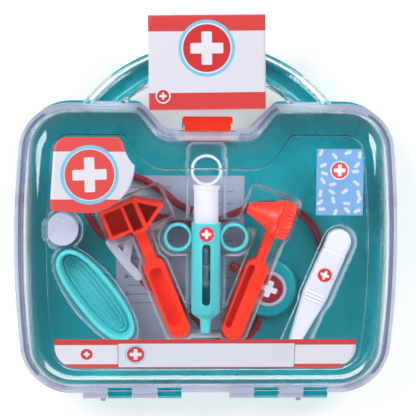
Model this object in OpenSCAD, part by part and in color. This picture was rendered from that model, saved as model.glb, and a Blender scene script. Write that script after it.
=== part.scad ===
// Toy doctor case, lying on its back: a coloured base shell and a clear domed lid
// hinged along one long edge, a clip latch in a dip of the other edge, a carry
// handle split between the two shells, and a clear tray of toy instruments.
// +X points right, +Y towards the handle and +Z out through the lid.
// The origin is the centre of the flat back face.

/* [Case outline] */
// Half width of the rim before its sides are bowed
rim_half_w = 127.4; // [122:0.1:132]
// How far each long side bows outwards
side_bow = 7.6; // [4:0.1:9]
// Distance from the centre to the handle edge of the rim
rim_top = 103; // [101:0.5:106]
// Distance from the centre to the hinge edge of the rim
rim_bottom = 103; // [100:0.5:108]
// Corner radius beside the handle
top_corner_r = 30; // [26:1:34]
// Corner radius beside the hinge
bottom_corner_r = 32; // [27:1:36]
// Depth of the latch dip in the handle edge
dip_depth = 18; // [15:0.5:20]
// Half length of the dip's flat
dip_flat = 23.5; // [20:0.5:26]
// Radius of the hump beside the dip
hump_r = 9; // [8.5:0.1:11]
// Radius of the dip's inner corner
dip_r = 12; // [9:0.5:16]
// Slope of the dip's side, in degrees
dip_slope = 48; // [42:1:54]

/* [Base shell] */
// Height of the base, up to the parting plane
base_h = 30; // [28:0.5:34]
// Wall of the base
base_wall = 2; // [1.6:0.1:2.6]
// How far the base's wall lies inside the lid's rim
base_inset = 1.8; // [1.2:0.1:2.6]
// How far the base stands out past the lid beside the handle
base_top_step = 1.6; // [0.8:0.1:2]
// How far the base's wall slopes in on its way down
base_draft = 2; // [1.2:0.1:2.4]
// Rounding of the bottom edge
base_round = 6; // [5:0.5:6.2]

/* [Lid shell] */
// Gap between lid and base at the parting plane
lid_gap = 0.2; // [0.1:0.05:0.4]
// Thickness of the lid's flat flange
flange_t = 2.8; // [2:0.1:3.4]
// Width of the lid's flange
flange_w = 4.8; // [4.2:0.1:6]
// Wall of the lid
lid_wall = 1.6; // [1.2:0.1:2]
// Height of the lid's highest point
lid_top = 57; // [54:0.5:62]
// Radius of the lid's long arch
arch_r = 245; // [220:5:300]
// Inset of the window from the rim at the sides
window_side = 23.9; // [21:0.1:27]
// Inset of the window from the rim beside the handle
window_top = 22; // [19:0.5:25]
// Inset of the window from the rim beside the hinge
window_bottom = 20; // [18:0.5:23]
// Window corner radius beside the handle
window_top_r = 11; // [9:0.5:14]
// Window corner radius beside the hinge
window_bottom_r = 15; // [12:0.5:18]
// Depth of the dip in the window's edge
window_dip = 23; // [19:0.5:25]
// Half length of the flat in the window's dip
window_flat = 28; // [25:0.5:30]
// Height of the step round the window
window_step = 1.2; // [0.8:0.1:1.6]

/* [Handle] */
// Distance from the centre to the handle arc's centre
handle_y = 35; // [32:0.5:38]
// Outer radius of the handle arc
handle_r = 109; // [106:0.5:112]
// Width of the grip
handle_w = 19.8; // [17:0.1:22]
// Height of the clear half of the grip
handle_front = 11; // [9:0.5:12.5]
// Depth of the coloured half of the grip
handle_back = 10; // [8:0.5:12]
// Wall of the hollow grip
handle_wall = 1.8; // [1.5:0.1:2.2]
// Angle at which the grip's collars start, from +Y
collar_angle = 37.3; // [34:0.1:40]
// How far a collar stands out
collar_step = 1; // [0.6:0.1:1.4]

/* [Hinge] */
// Length of one knuckle with its gap
knuckle_pitch = 17.7; // [16:0.1:18.5]
// Distance from the middle to the first knuckle
hinge_start = 16.9; // [14:0.1:20]
// Knuckle radius
knuckle_r = 3.2; // [2.9:0.1:3.2]
// Distance of the pin's axis outside the lid's rim
hinge_out = 2.2; // [2.2:0.1:3]
// Hinge pin radius
pin_r = 1.2; // [1:0.1:1.6]
// Radial clearance of a pin in its bores
pin_clear = 0.05; // [0.03:0.01:0.1]
// Gap between neighbouring knuckles
knuckle_gap = 0.5; // [0.3:0.1:0.8]

/* [Latch] */
// Width of the latch
latch_w = 32; // [28:0.5:36]
// Height of the latch's pivot
latch_pivot_z = 13; // [11:0.5:15]
// Radius of the latch's barrel
latch_barrel_r = 3; // [2.7:0.1:3.2]
// How far the latch reaches over the rim
latch_reach = 0.8; // [0.4:0.1:0.9]
// Thickness of the latch's front plate
latch_plate = 2.7; // [2:0.1:3]
// Thickness of the latch's cap
latch_cap = 2.6; // [2:0.1:3]
// How far the thumb lip stands out
latch_lip = 3.2; // [2:0.1:4]
// Gap round the latch
latch_gap = 0.5; // [0.4:0.1:0.8]
// Thickness of each bracket ear
ear_t = 2.6; // [2:0.1:3.2]

/* [Header card] */
// Width of the card
card_w = 80.5; // [76:0.5:82]
// Height of the card's front
card_h = 65.7; // [60:0.1:67]
// How far the card's lower edge hangs below the grip's outer edge
card_hang = 45; // [42:0.2:45]
// Thickness of the card
card_t = 0.5; // [0.4:0.05:0.6]
// How much higher the flap's edge is than the card's lower edge
flap_lift = 6.8; // [6.8:0.2:9]
// Height of the slot for the flap
slot_h = 1.2; // [1.1:0.1:1.6]
// Turn of the card as it hangs, in degrees
card_turn = 0.9; // [0:0.1:1.2]

/* [Tray] */
// Height of the tray's deck
deck_z = 25; // [24:0.5:27]
// Thickness of the tray's sheet
tray_t = 0.8; // [0.7:0.1:1]
// Height of the underside of the pockets
pocket_z = 12; // [11.5:0.1:12.6]
// Clearance round an instrument in its pocket
pocket_clear = 0.8; // [0.6:0.1:1.2]
// Distance of the deck's edge inside the base's outline
tray_inset = 6; // [5.5:0.1:7]
// Slope of the tray's skirt
skirt_draft = 4; // [3:0.5:5]

/* [Syringe] */
// Outer radius of the barrel
barrel_r = 10.3; // [9.8:0.1:10.8]
// Wall of the barrel
barrel_wall = 1.3; // [1.1:0.1:1.5]
// Length of the barrel's straight part
barrel_len = 65; // [60:1:66]
// Height on the page of the barrel's open end
barrel_y = 18.6; // [17:0.2:19.6]
// Outer radius of a finger ring
finger_r = 10.2; // [9.8:0.1:10.6]
// Width of a finger ring's band
finger_band = 2.3; // [2:0.1:2.8]
// Running gap between plunger and barrel
plunger_gap = 0.3; // [0.2:0.05:0.4]
// Outer radius of the plunger's ring
thumb_r = 11.1; // [10:0.1:11.6]
// Length of the plunger that shows above the barrel
plunger_show = 23.6; // [21:0.2:24]

/* [Hammer] */
// Width of the hammer's handle
hammer_w = 15; // [14:0.5:16]
// Length of the hammer's handle
hammer_len = 61.5; // [56:0.5:62]
// Depth of the hammer's head
hammer_depth = 22; // [18:0.5:24]
// Wall of the hammer's open head
hammer_wall = 2; // [1.6:0.1:2.4]

/* [Otoscope] */
// Width of the otoscope's handle
oto_w = 15.4; // [14.4:0.1:16]
// Large radius of the viewing cone
cone_r = 13; // [12:0.1:13.4]
// Small radius of the viewing cone
cone_tip_r = 4.1; // [3.4:0.1:4.6]
// Radius over the grips of the eyepiece ring
eyepiece_r = 13.9; // [13.5:0.1:14.2]
// Length of the eyepiece ring
eyepiece_len = 9.5; // [8:0.5:10]

/* [Other instruments] */
// Radius of the thermometer's round end
thermo_r = 8.9; // [8:0.1:9.2]
// Radius of the thermometer's tip
thermo_tip_r = 3.6; // [3:0.1:4.2]
// Thickness of the thermometer
thermo_t = 12; // [10:0.5:13]
// Length of the instrument dish
dish_len = 78; // [74:0.5:79]
// Width of the instrument dish
dish_w = 28; // [26:0.5:29]
// Height of the instrument dish
dish_h = 13; // [11:0.5:14]
// Radius of the gauze roll
roll_r = 11.3; // [10:0.1:11.6]
// Height of the gauze roll
roll_h = 14; // [12:0.5:16]
// Width of the pack of plasters
pack_w = 33.2; // [30:0.2:34]
// Height of the pack of plasters
pack_h = 46.7; // [44:0.2:47]
// Thickness of the pack of plasters
pack_t = 3; // [2:0.5:4]
// Radius of the stethoscope's chest piece
bell_r = 21; // [19:0.5:22]
// Radius of the stethoscope's tube
tube_r = 2.6; // [2.2:0.1:2.8]

/* [Printed pieces] */
// Thickness of the stickers
label_t = 0.3; // [0.2:0.05:0.4]
// Thickness of the paper record sheet
sheet_t = 0.3; // [0.2:0.05:0.4]
// Width of the paper record sheet
sheet_w = 92.5; // [88:0.5:96]
// Height of the paper record sheet
sheet_h = 122; // [116:1:126]

/* [Hidden] */

teal = [0.03, 0.50, 0.52];
clear = [0.80, 0.90, 0.92, 0.45];
signal_red = [0.95, 0.20, 0.12];
aqua = [0.30, 0.78, 0.80];
white = [0.92, 0.92, 0.95];
dark_red = [0.55, 0.08, 0.15];

// Steps in the arcs of the outline, which every ring of a shell shares
corner_steps = 8;
side_steps = 8;
hump_steps = 4;
dip_steps = 5;
shoulder_steps = 6;
round_steps = 3;
// Facets of a circle that nothing turns in, and of the grip's arc
soft_fn = 32;
grip_fn = 120;
// Overshoot of a cutter past the face that it leaves
over = 0.1;

function mix(a, b, t) = a + (b - a) * t;

dip_edge = rim_top - dip_depth;
card_bottom = handle_y + handle_r - card_hang;
flap_bottom = card_bottom + flap_lift;
base_dip_inset = 1;
window_hump_r = 6;
window_dip_r = 24;
window_slope = 55;
tray_hump_r = 14;
tray_slope = 45;

// An outline is [half_w, top, bottom, top_r, bottom_r, dip_y, flat, hump_r, dip_r, slope]
rim_set = [rim_half_w, rim_top, -rim_bottom, top_corner_r, bottom_corner_r,
    dip_edge, dip_flat, hump_r, dip_r, dip_slope];
window_set = [rim_half_w - window_side, rim_top - window_top, window_bottom - rim_bottom,
    window_top_r, window_bottom_r, rim_top - window_top - window_dip,
    window_flat, window_hump_r, window_dip_r, window_slope];
base_set = [rim_half_w - base_inset, rim_top + base_top_step, base_inset - rim_bottom,
    top_corner_r, bottom_corner_r - base_inset, dip_edge - base_dip_inset,
    dip_flat, hump_r, dip_r, dip_slope];
tray_set = [rim_half_w - base_inset - tray_inset, rim_top - tray_inset,
    base_inset + tray_inset - rim_bottom, top_corner_r - tray_inset,
    bottom_corner_r - tray_inset, dip_edge - tray_inset,
    dip_flat, tray_hump_r, tray_hump_r, tray_slope];

// The same outline, moved inwards by d all round
function shrink(s, d) = [s[0] - d, s[1] - d, s[2] + d, s[3] - d, s[4] - d,
    s[5] - d, s[6], s[7] - d, s[8] + d, s[9]];

function arc(centre, r, a0, a1, steps) =
    [for (i = [0:steps]) let (a = mix(a0, a1, i / steps)) centre + r * [cos(a), sin(a)]];

function half_outline(s) = let (
    bends = s[7] + s[8],
    hump_x = s[6] + bends * sin(s[9]) + (s[1] - s[5] - bends * (1 - cos(s[9]))) / tan(s[9])
) concat(
    arc([s[0] - s[4], s[2] + s[4]], s[4], -90, 0, corner_steps),
    [for (i = [1:side_steps - 1]) [s[0], mix(s[2] + s[4], s[1] - s[3], i / side_steps)]],
    arc([s[0] - s[3], s[1] - s[3]], s[3], 0, 90, corner_steps),
    arc([hump_x, s[1] - s[7]], s[7], 90, 90 + s[9], hump_steps),
    arc([s[6], s[5] + s[8]], s[8], s[9] - 90, -90, dip_steps));

function bowed(p) = [p.x * (1 + side_bow / rim_half_w * (1 - pow(p.y / rim_top, 2))), p.y];

function outline(s) = let (half = half_outline(s), n = len(half))
    concat([for (p = half) bowed(p)],
        [for (i = [n - 1:-1:0]) bowed([-half[i].x, half[i].y])]);

function ring(s, z) = [for (p = outline(s)) [p.x, p.y, z]];

// Height of the arched face of the lid, which is curved along Y only
function arch_z(y) = lid_top - y * y / (2 * arch_r);

function mean(points) = [for (k = [0:2]) [for (p = points) p[k]] * [for (p = points) 1] / len(points)];

// A closed solid through rings of equal length, from the lowest to the highest
module loft(rings) {
    n = len(rings[0]);
    last = len(rings) - 1;
    points = concat([for (r = rings) each r], [mean(rings[0]), mean(rings[last])]);
    low = n * len(rings);
    walls = [for (i = [0:last - 1], j = [0:n - 1]) let (
        a = i * n + j, b = i * n + (j + 1) % n
    ) each [[a, a + n, b + n], [a, b + n, b]]];
    floors = [for (j = [0:n - 1]) [j, (j + 1) % n, low]];
    roofs = [for (j = [0:n - 1]) [last * n + (j + 1) % n, last * n + j, low + 1]];
    polyhedron(points, concat(walls, floors, roofs));
}

/* Base */

parting_z = base_h;
base_wall_inset = base_draft + base_round;
grip_angle = 62;

module base_outer() {
    loft(concat(
        [for (i = [0:round_steps]) let (a = 90 * i / round_steps)
            ring(shrink(base_set, base_wall_inset - base_round * sin(a)), base_round * (1 - cos(a)))],
        [ring(shrink(base_set, base_lip), base_h - lip_h),
            ring(base_set, base_h - lip_h + base_lip), ring(base_set, base_h)]));
}
base_lip = 0.6;
lip_h = 4;

// How far the base's outer wall lies inside its rim at a height
function wall_inset(z) = mix(base_draft, base_lip, (z - base_round) / (base_h - lip_h - base_round));

module base_inner() {
    inner_r = base_round - base_wall;
    loft(concat(
        [for (i = [0:round_steps]) let (a = 90 * i / round_steps)
            ring(shrink(base_set, base_wall_inset - inner_r * sin(a)),
                base_wall + inner_r * (1 - cos(a)))],
        [ring(shrink(base_set, base_wall + base_lip), base_h + over)]));
}

// Section of half a grip: a rounded D that stands on the parting plane
module grip_section(height, wall, grow) {
    mid_r = handle_r - handle_w / 2;
    half_w = handle_w / 2 - wall + grow;
    top = height - wall + grow;
    section_steps = 12;
    polygon([for (i = [0:section_steps]) let (a = 180 * i / section_steps)
        [mid_r + half_w * sign(cos(a)) * pow(abs(cos(a)), grip_square),
            top * pow(sin(a), grip_square)]]);
}
grip_square = 0.72;

module grip_arc(from_angle, to_angle) {
    translate([0, handle_y, 0])
        rotate([0, 0, 90 + from_angle])
            rotate_extrude(angle = to_angle - from_angle, $fn = grip_fn)
                children();
}

// Half a grip with its thin outer bead and the thicker roots past the collars
module grip_outer(height) {
    grip_arc(-grip_angle, grip_angle) {
        grip_section(height, 0, 0);
        translate([handle_r - bead, 0])
            square([2 * bead, bead]);
    }
    grip_arc(-grip_angle, -collar_angle)
        grip_section(height, 0, collar_step);
    grip_arc(collar_angle, grip_angle)
        grip_section(height, 0, collar_step);
}
bead = 1.2;

module grip_inner(height) {
    translate([0, 0, -over])
        grip_arc(-grip_angle, grip_angle)
            grip_section(height + over, handle_wall, 0);
}

hinge_drop = 0.4;
hinge_y = -rim_bottom - hinge_out;
hinge_z = base_h - knuckle_r - hinge_drop;
bore_r = pin_r + pin_clear;
group_w = 4 * knuckle_pitch;
group_starts = [-hinge_start - group_w, hinge_start];
hinge_face = base_inset - rim_bottom;
latch_pivot_y = dip_edge + latch_gap + latch_barrel_r;
latch_pad_y = dip_edge - base_dip_inset + over;
ear_x = latch_w / 2 + latch_gap;

module base_shell() {
    pad_depth = 4;
    hinge_pad_z = hinge_z - knuckle_web - 1;
    ear_pad_z = latch_pivot_z - ear_r;
    color(teal) difference() {
        union() {
            base_outer();
            translate([0, 0, base_h])
                mirror([0, 0, 1])
                    difference() {
                        grip_outer(handle_back);
                        grip_inner(handle_back);
                    }
            for (start = group_starts, i = [0:3]) {
                x = start + i * knuckle_pitch;
                soft_block([x, hinge_face, hinge_pad_z], [x + knuckle_pitch, hinge_face + pad_depth, base_h], 0.5);
            }
            for (side = [-1, 1]) {
                x = side * (ear_x + ear_t / 2);
                soft_block([x - ear_t, latch_pad_y - pad_depth, ear_pad_z],
                    [x + ear_t, latch_pad_y, ear_pad_z + 2 * ear_r], 0.5);
            }
        }
        base_inner();
    }
}
knuckle_web = 5;
ear_r = 3.4;

// One knuckle: a barrel on the hinge's axis
module knuckle(x) {
    translate([x + knuckle_gap / 2, hinge_y, hinge_z])
        rotate([0, 90, 0])
            cylinder(r = knuckle_r, h = knuckle_pitch - knuckle_gap, $fn = 48);
}

// A block with four rounded upright edges, from one corner to the other
module soft_block(low, high, r) {
    hull()
        for (x = [low.x + r, high.x - r], y = [low.y + r, high.y - r])
            translate([x, y, low.z])
                cylinder(r = r, h = high.z - low.z, $fn = 12);
}

module hinge_bore(r, length, x) {
    translate([x, hinge_y, hinge_z])
        rotate([0, 90, 0])
            cylinder(r = r, h = length, $fn = 48);
}

module base_hinge_knuckles() {
    web_y = hinge_y - pin_r;
    color(teal) difference() {
        for (start = group_starts, i = [1, 3]) {
            knuckle(start + i * knuckle_pitch);
            translate([start + i * knuckle_pitch + knuckle_gap / 2, web_y, hinge_z - knuckle_web])
                cube([knuckle_pitch - knuckle_gap, hinge_face - web_y, knuckle_web]);
        }
        for (start = group_starts)
            hinge_bore(bore_r, group_w, start);
    }
}

module lid_hinge_knuckles() {
    web_y = hinge_y - pin_r;
    color(clear) difference() {
        for (start = group_starts, i = [0, 2]) {
            knuckle(start + i * knuckle_pitch);
            translate([start + i * knuckle_pitch + knuckle_gap / 2, web_y, hinge_z])
                cube([knuckle_pitch - knuckle_gap, -rim_bottom - web_y, flange_top - hinge_z]);
        }
        for (start = group_starts)
            hinge_bore(bore_r, group_w, start);
    }
}

module hinge_pin(start) {
    end_gap = 1;
    color("silver")
        hinge_bore(pin_r, group_w - 2 * end_gap, start + end_gap);
}

// Two clear tag tails that show under the hinge
module seal_ties() {
    tie_w = 3.6;
    tie_len = 12.4;
    tie_z = 17;
    tie_t = 0.8;
    tie_left = -73.5;
    tie_right = 67.8;
    root_y = hinge_face + wall_inset(tie_z + tie_t);
    color(clear)
        for (x = [tie_left, tie_right]) {
            translate([x - tie_w / 2, root_y - tie_len, tie_z])
                cube([tie_w, tie_len, tie_t]);
            translate([x - tie_w / 2, root_y - tie_len, tie_z - tie_t])
                cube([tie_w, tie_t * 2, tie_t * 3]);
        }
}

/* Lid */

lid_low = base_h + lid_gap;
flange_top = lid_low + flange_t;
window_inset = (window_side + window_top + window_bottom) / 3;
wall_u = flange_w / window_inset;
shoulder_u = 0.82;
step_u = 0.97;
rim_soft = 0.6;

function lid_set(u) = mix(rim_set, window_set, u);

// A ring of the lid that is lifted by a share of the way from flange to arch
function lid_ring(s, lift, drop) = [for (p = outline(s))
    [p.x, p.y, mix(flange_top, arch_z(p.y) + window_step, lift) - drop]];

function window_ring(share, drop) = [for (p = outline(window_set))
    [p.x * share, p.y * share, arch_z(p.y * share) - drop]];

module lid_outer() {
    loft(concat(
        [ring(rim_set, lid_low), ring(rim_set, flange_top - rim_soft),
            ring(lid_set(rim_soft / window_inset), flange_top), ring(lid_set(wall_u), flange_top)],
        [for (i = [1:shoulder_steps]) let (a = 90 * i / shoulder_steps)
            lid_ring(lid_set(mix(shoulder_u, wall_u, cos(a))), sin(a), 0)],
        [lid_ring(lid_set(step_u), 1, 0)],
        [for (share = [1, 0.72, 0.42, 0.1]) window_ring(share, 0)]));
}

module lid_inner() {
    loft(concat(
        [ring(shrink(lid_set(wall_u), lid_wall), lid_low - over)],
        [for (i = [0:shoulder_steps]) let (a = 90 * i / shoulder_steps)
            lid_ring(shrink(lid_set(mix(shoulder_u, wall_u, cos(a))), lid_wall * cos(a)),
                sin(a), lid_wall * sin(a))],
        [lid_ring(lid_set(step_u), 1, lid_wall)],
        [for (share = [1, 0.72, 0.42, 0.1]) window_ring(share, lid_wall)]));
}

module lid_shell() {
    notch_side = 4;
    notch_half = latch_w / 2 + notch_side;
    notch_depth = latch_reach + latch_gap;
    slot_half = card_w / 2 + 4;
    slot_y = flap_bottom - 2;
    slot_reach = 60;
    gusset_h = 1.6;
    gusset_w = flange_w - 0.8;
    edge_r = 0.5;
    color(clear) difference() {
        union() {
            lid_outer();
            translate([0, 0, lid_low])
                grip_outer(handle_front - lid_gap);
            for (start = group_starts, i = [0, 2]) {
                x = start + i * knuckle_pitch;
                soft_block([x + knuckle_gap, -rim_bottom, flange_top - over],
                    [x + knuckle_pitch - knuckle_gap, gusset_w - rim_bottom, flange_top + gusset_h], edge_r);
            }
        }
        lid_inner();
        difference() {
            translate([0, 0, lid_low])
                grip_inner(handle_front - lid_gap);
            lid_outer();
        }
        for (start = group_starts, i = [1, 3]) {
            x = start + i * knuckle_pitch;
            soft_block([x, -rim_bottom - 1, lid_low - over],
                [x + knuckle_pitch, gusset_w - rim_bottom, flange_top + over], edge_r);
        }
        soft_block([-notch_half, dip_edge - notch_depth, lid_low - over],
            [notch_half, dip_edge + 1, flange_top + over], edge_r);
        translate([-slot_half, slot_y, lid_low - over])
            cube([2 * slot_half, slot_reach, slot_h - lid_gap + over]);
    }
}

// The lid's face as a sheet of a given thickness, to be cut to a sticker's outline
module face_sheet(thickness) {
    reach = rim_half_w;
    steps = 40;
    lift = 0.05;
    span = rim_top - window_top;
    rows = [for (i = [0:steps]) mix(-span, span, i / steps)];
    translate([-reach, 0, 0])
        rotate([90, 0, 90])
            linear_extrude(2 * reach)
                polygon(concat([for (y = rows) [y, arch_z(y) + lift]],
                    [for (i = [steps:-1:0]) [rows[i], arch_z(rows[i]) + lift + thickness]]));
}

window_left = rim_half_w - window_side;
label_edge = 2.7;
label_gap = 0.8;

// Sticker in the window's upper left corner, hollowed beside the dip
module lid_label() {
    left = -window_left - label_edge;
    top = rim_top - window_top - label_gap;
    corner = 9.6;
    disc_at = [-83, 61.5];
    disc_r = 32.6;
    color(white) intersection() {
        face_sheet(label_t);
        linear_extrude(lid_top * 2)
            polygon(concat(
                arc([left + corner, top - corner], corner, 90, 180, 5),
                [[left - 2.1, 32.5], [left - 0.9, 30.4]],
                arc(disc_at, disc_r, -98, 0, 10),
                arc([-window_flat, top + 1.8], 31, 219, 190, 5),
                [[-60.8, top - 0.8], [-61.6, top]]));
    }
}

// Long strip along the window's lower edge
module name_strip() {
    middle = -0.75;
    half = window_left + 2;
    low = window_bottom - rim_bottom + label_gap / 2;
    strip_h = 22.1;
    high = low + strip_h;
    corner = 16;
    color(white) intersection() {
        face_sheet(label_t);
        linear_extrude(lid_top * 2)
            translate([middle, 0])
                polygon(concat([[-half, high]],
                    arc([corner - half, low + corner], corner, 180, 270, 6),
                    arc([half - corner, low + corner], corner, -90, 0, 6),
                    [[half, high]]));
    }
}

/* Latch */

latch_out = latch_pivot_y + latch_barrel_r - 0.6;
latch_top = flange_top + latch_gap + latch_cap;
module latch_clip() {
    lip_round = 1.6;
    lip_half = latch_w / 2 + 1.4;
    color(signal_red) difference() {
        union() {
            translate([-latch_w / 2, 0, 0])
                rotate([90, 0, 90])
                    linear_extrude(latch_w) {
                        translate([latch_pivot_y, latch_pivot_z])
                            circle(r = latch_barrel_r, $fn = 48);
                        translate([latch_out - latch_plate, latch_pivot_z])
                            square([latch_plate, latch_top - latch_pivot_z]);
                        translate([dip_edge - latch_reach, latch_top - latch_cap])
                            square([latch_out - dip_edge + latch_reach, latch_cap]);
                    }
            translate([0, 0, latch_top - latch_cap + 0.5])
                linear_extrude(latch_cap - 0.5) {
                    translate([-lip_half, latch_out - lip_round])
                        square([2 * lip_half, latch_lip]);
                    translate([lip_round - lip_half, latch_out - lip_round])
                        square([2 * (lip_half - lip_round), lip_round + latch_lip]);
                    for (side = [-1, 1])
                        translate([side * (lip_half - lip_round), latch_out + latch_lip - lip_round])
                            circle(r = lip_round, $fn = 24);
                }
        }
        translate([-latch_w, latch_pivot_y, latch_pivot_z])
            rotate([0, 90, 0])
                cylinder(r = bore_r, h = 2 * latch_w, $fn = 48);
    }
}

module latch_bracket() {
    color(teal) difference() {
        for (side = [-1, 1])
            translate([side * (ear_x + ear_t / 2) - ear_t / 2, latch_pad_y, latch_pivot_z]) {
                translate([0, 0, -ear_r])
                    cube([ear_t, latch_pivot_y - latch_pad_y, 2 * ear_r]);
                translate([0, latch_pivot_y - latch_pad_y, 0])
                    rotate([0, 90, 0])
                        cylinder(r = ear_r, h = ear_t, $fn = 48);
            }
        translate([-latch_w, latch_pivot_y, latch_pivot_z])
            rotate([0, 90, 0])
                cylinder(r = bore_r, h = 2 * latch_w, $fn = 48);
    }
}

module latch_pin() {
    pin_half = ear_x + ear_t;
    color("silver")
        translate([-pin_half, latch_pivot_y, latch_pivot_z])
            rotate([0, 90, 0])
                cylinder(r = pin_r, h = 2 * pin_half, $fn = 48);
}

/* Header card */

// The card's frame: turned about the middle of its front, a little off the case's middle
module card_frame() {
    card_x = -0.9;
    middle = card_bottom + card_h / 2;
    translate([card_x, middle, 0])
        rotate([0, 0, card_turn])
            translate([-card_w / 2, -middle, 0])
                rotate([90, 0, 90])
                    linear_extrude(card_w)
                        children();
}

// A folded card: front panel on the grip, fold past it, flap in the parting slot
module header_card() {
    fold_y = card_bottom + card_h;
    grip_y = handle_y + handle_r + 2 * bead;
    front_z = base_h + handle_front + bead / 2;
    flap_z = base_h + (slot_h - card_t) / 2;
    color(white) {
        card_frame()
            polygon([[card_bottom, front_z], [fold_y, front_z],
                [fold_y, front_z + card_t], [card_bottom, front_z + card_t]]);
        card_frame()
            polygon([[fold_y, front_z + card_t], [fold_y - card_t, front_z],
                [grip_y + 4, flap_z + card_t], [flap_bottom, flap_z + card_t],
                [flap_bottom, flap_z], [grip_y + 4 + card_t, flap_z],
                [fold_y, front_z]]);
    }
}

/* Instruments: each lies on its pocket's floor */

floor_z = pocket_z + tray_t;

// A bar with round ends from a to b, as a flat outline
module bar(a, b, r) {
    hull()
        for (end = [a, b])
            translate(end)
                circle(r = r, $fn = soft_fn);
}

function heading(angle) = [sin(angle), cos(angle)];

syringe_x = -0.2;
syringe_z = floor_z + barrel_r + 0.2;
barrel_low = barrel_y - barrel_len;
bore_barrel = barrel_r - barrel_wall;
shoulder_len = 4.8;
nozzle_len = 9.6;
nozzle_r = 4;
finger_y = 8;
finger_x = barrel_r + finger_r - 0.65;
finger_t = 6;
slot_w = 5.9;
slot_top = 4.2;
slot_low = barrel_low + 6.6;
emblem_r = 5.1;
emblem_y = 11.3;
plunger_disc_t = 2.8;
// Room for the plunger's thumb ring to rise in its pocket
plunger_rise = 5.5;

module along_y(x, y, z) {
    translate([x, y, z])
        rotate([-90, 0, 0])
            children();
}

module syringe_barrel() {
    color(aqua) difference() {
        union() {
            along_y(syringe_x, barrel_low, syringe_z)
                cylinder(r = barrel_r, h = barrel_len, $fn = 64);
            along_y(syringe_x, barrel_low - shoulder_len, syringe_z)
                cylinder(r1 = nozzle_r + 0.4, r2 = barrel_r, h = shoulder_len, $fn = 64);
            along_y(syringe_x, barrel_low - shoulder_len - nozzle_len, syringe_z)
                cylinder(r1 = nozzle_r - 0.4, r2 = nozzle_r, h = nozzle_len + over, $fn = 48);
            for (side = [-1, 1])
                translate([syringe_x + side * finger_x, finger_y, syringe_z - finger_t / 2])
                    cylinder(r = finger_r, h = finger_t, $fn = 64);
        }
        for (side = [-1, 1])
            translate([syringe_x + side * finger_x, finger_y, syringe_z - finger_t])
                cylinder(r = finger_r - finger_band, h = 2 * finger_t, $fn = 64);
        along_y(syringe_x, barrel_low, syringe_z)
            cylinder(r = bore_barrel, h = barrel_len + over, $fn = 64);
        translate([syringe_x - slot_w / 2, slot_low, syringe_z])
            cube([slot_w, slot_top - slot_low, 2 * barrel_r]);
    }
}

module syringe_emblem() {
    emblem_t = 0.9;
    color(signal_red) difference() {
        translate([syringe_x, emblem_y, syringe_z + barrel_r / 2])
            cylinder(r = emblem_r, h = barrel_r / 2 + emblem_t, $fn = 48);
        along_y(syringe_x, barrel_low, syringe_z)
            cylinder(r = barrel_r, h = barrel_len, $fn = 64);
    }
}

module syringe_plunger() {
    plunger_r = bore_barrel - plunger_gap;
    piston_low = barrel_y - 6;
    body_top = barrel_y + plunger_show;
    thumb_band = 1.9;
    thumb_t = 5;
    thumb_y = body_top + plunger_disc_t + thumb_r - 0.6;
    rod_r = 1.8;
    tip_y = -25.5;
    ball_r = 3;
    color(white) {
        along_y(syringe_x, piston_low, syringe_z)
            cylinder(r = plunger_r, h = body_top - piston_low, $fn = 64);
        along_y(syringe_x, body_top, syringe_z)
            cylinder(r = bore_barrel + 0.4, h = plunger_disc_t, $fn = 64);
        along_y(syringe_x, tip_y, syringe_z)
            cylinder(r = rod_r, h = piston_low - tip_y + over, $fn = soft_fn);
        for (y = [tip_y, -1])
            along_y(syringe_x, y, syringe_z)
                sphere(r = ball_r, $fn = soft_fn);
        along_y(syringe_x, -18, syringe_z)
            cylinder(r1 = rod_r, r2 = ball_r + 1, h = 6, $fn = soft_fn);
        difference() {
            translate([syringe_x, thumb_y, syringe_z - thumb_t / 2])
                cylinder(r = thumb_r, h = thumb_t, $fn = 64);
            translate([syringe_x, thumb_y, syringe_z - thumb_t])
                cylinder(r = thumb_r - thumb_band, h = 2 * thumb_t, $fn = 64);
        }
    }
}

/* Reflex hammer */

hammer_end = [-16.1, -64.1];
hammer_turn = 22.4;
hammer_head_turn = 23.5;
hammer_top = hammer_end - hammer_len * [sin(hammer_turn), -cos(hammer_turn)];
head_at = [-46.9, 13.2];
hammer_r = hammer_w / 2;
hammer_bar_t = 11;
hammer_low = hammer_end + hammer_r * [-sin(hammer_turn), cos(hammer_turn)];
hammer_high = hammer_top + hammer_r * [sin(hammer_turn), -cos(hammer_turn)];
head_left = [-21.1, 2.1, 16, 20.9];
head_mid = [-5.1, -0.4, 10.4, 23.5];
head_tip = [23, 11];
neck_r = 3.9;

module head_frame() {
    translate([head_at.x, head_at.y, 0])
        rotate([0, 0, hammer_head_turn])
            children();
}

module head_outline(inset) {
    translate([head_left[0] + inset, head_left[1] + inset])
        square([head_left[2] - 1.5 * inset, head_left[3] - 2 * inset]);
    translate([head_mid[0] + inset / 2, head_mid[1] + inset])
        square([head_mid[2] - 1.5 * inset, head_mid[3] - 2 * inset]);
    right = head_mid[0] + head_mid[2];
    polygon([[right + inset / 2, head_mid[1] + 1.7 * inset],
        [head_tip.x - 2.2 * inset, head_tip.y],
        [right + inset / 2, head_mid[1] + head_mid[3] - 1.7 * inset]]);
}

module reflex_hammer() {
    back_t = 2;
    cavity_depth = 6;
    color(signal_red) difference() {
        translate([0, 0, floor_z])
            union() {
                linear_extrude(hammer_bar_t) {
                    bar(hammer_low, hammer_high, hammer_r);
                    bar(hammer_high, head_at - [0.5, 1], neck_r);
                }
                head_frame()
                    linear_extrude(hammer_depth)
                        head_outline(0);
            }
        translate([0, 0, floor_z + hammer_bar_t - cavity_depth])
            linear_extrude(hammer_depth)
                bar(hammer_low + [-3.6, 5.7], hammer_high + [1.2, -4.9], hammer_r - 2.6);
        translate([0, 0, floor_z + back_t])
            head_frame()
                linear_extrude(hammer_depth)
                    head_outline(hammer_wall);
    }
}

/* Otoscope */

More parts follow.
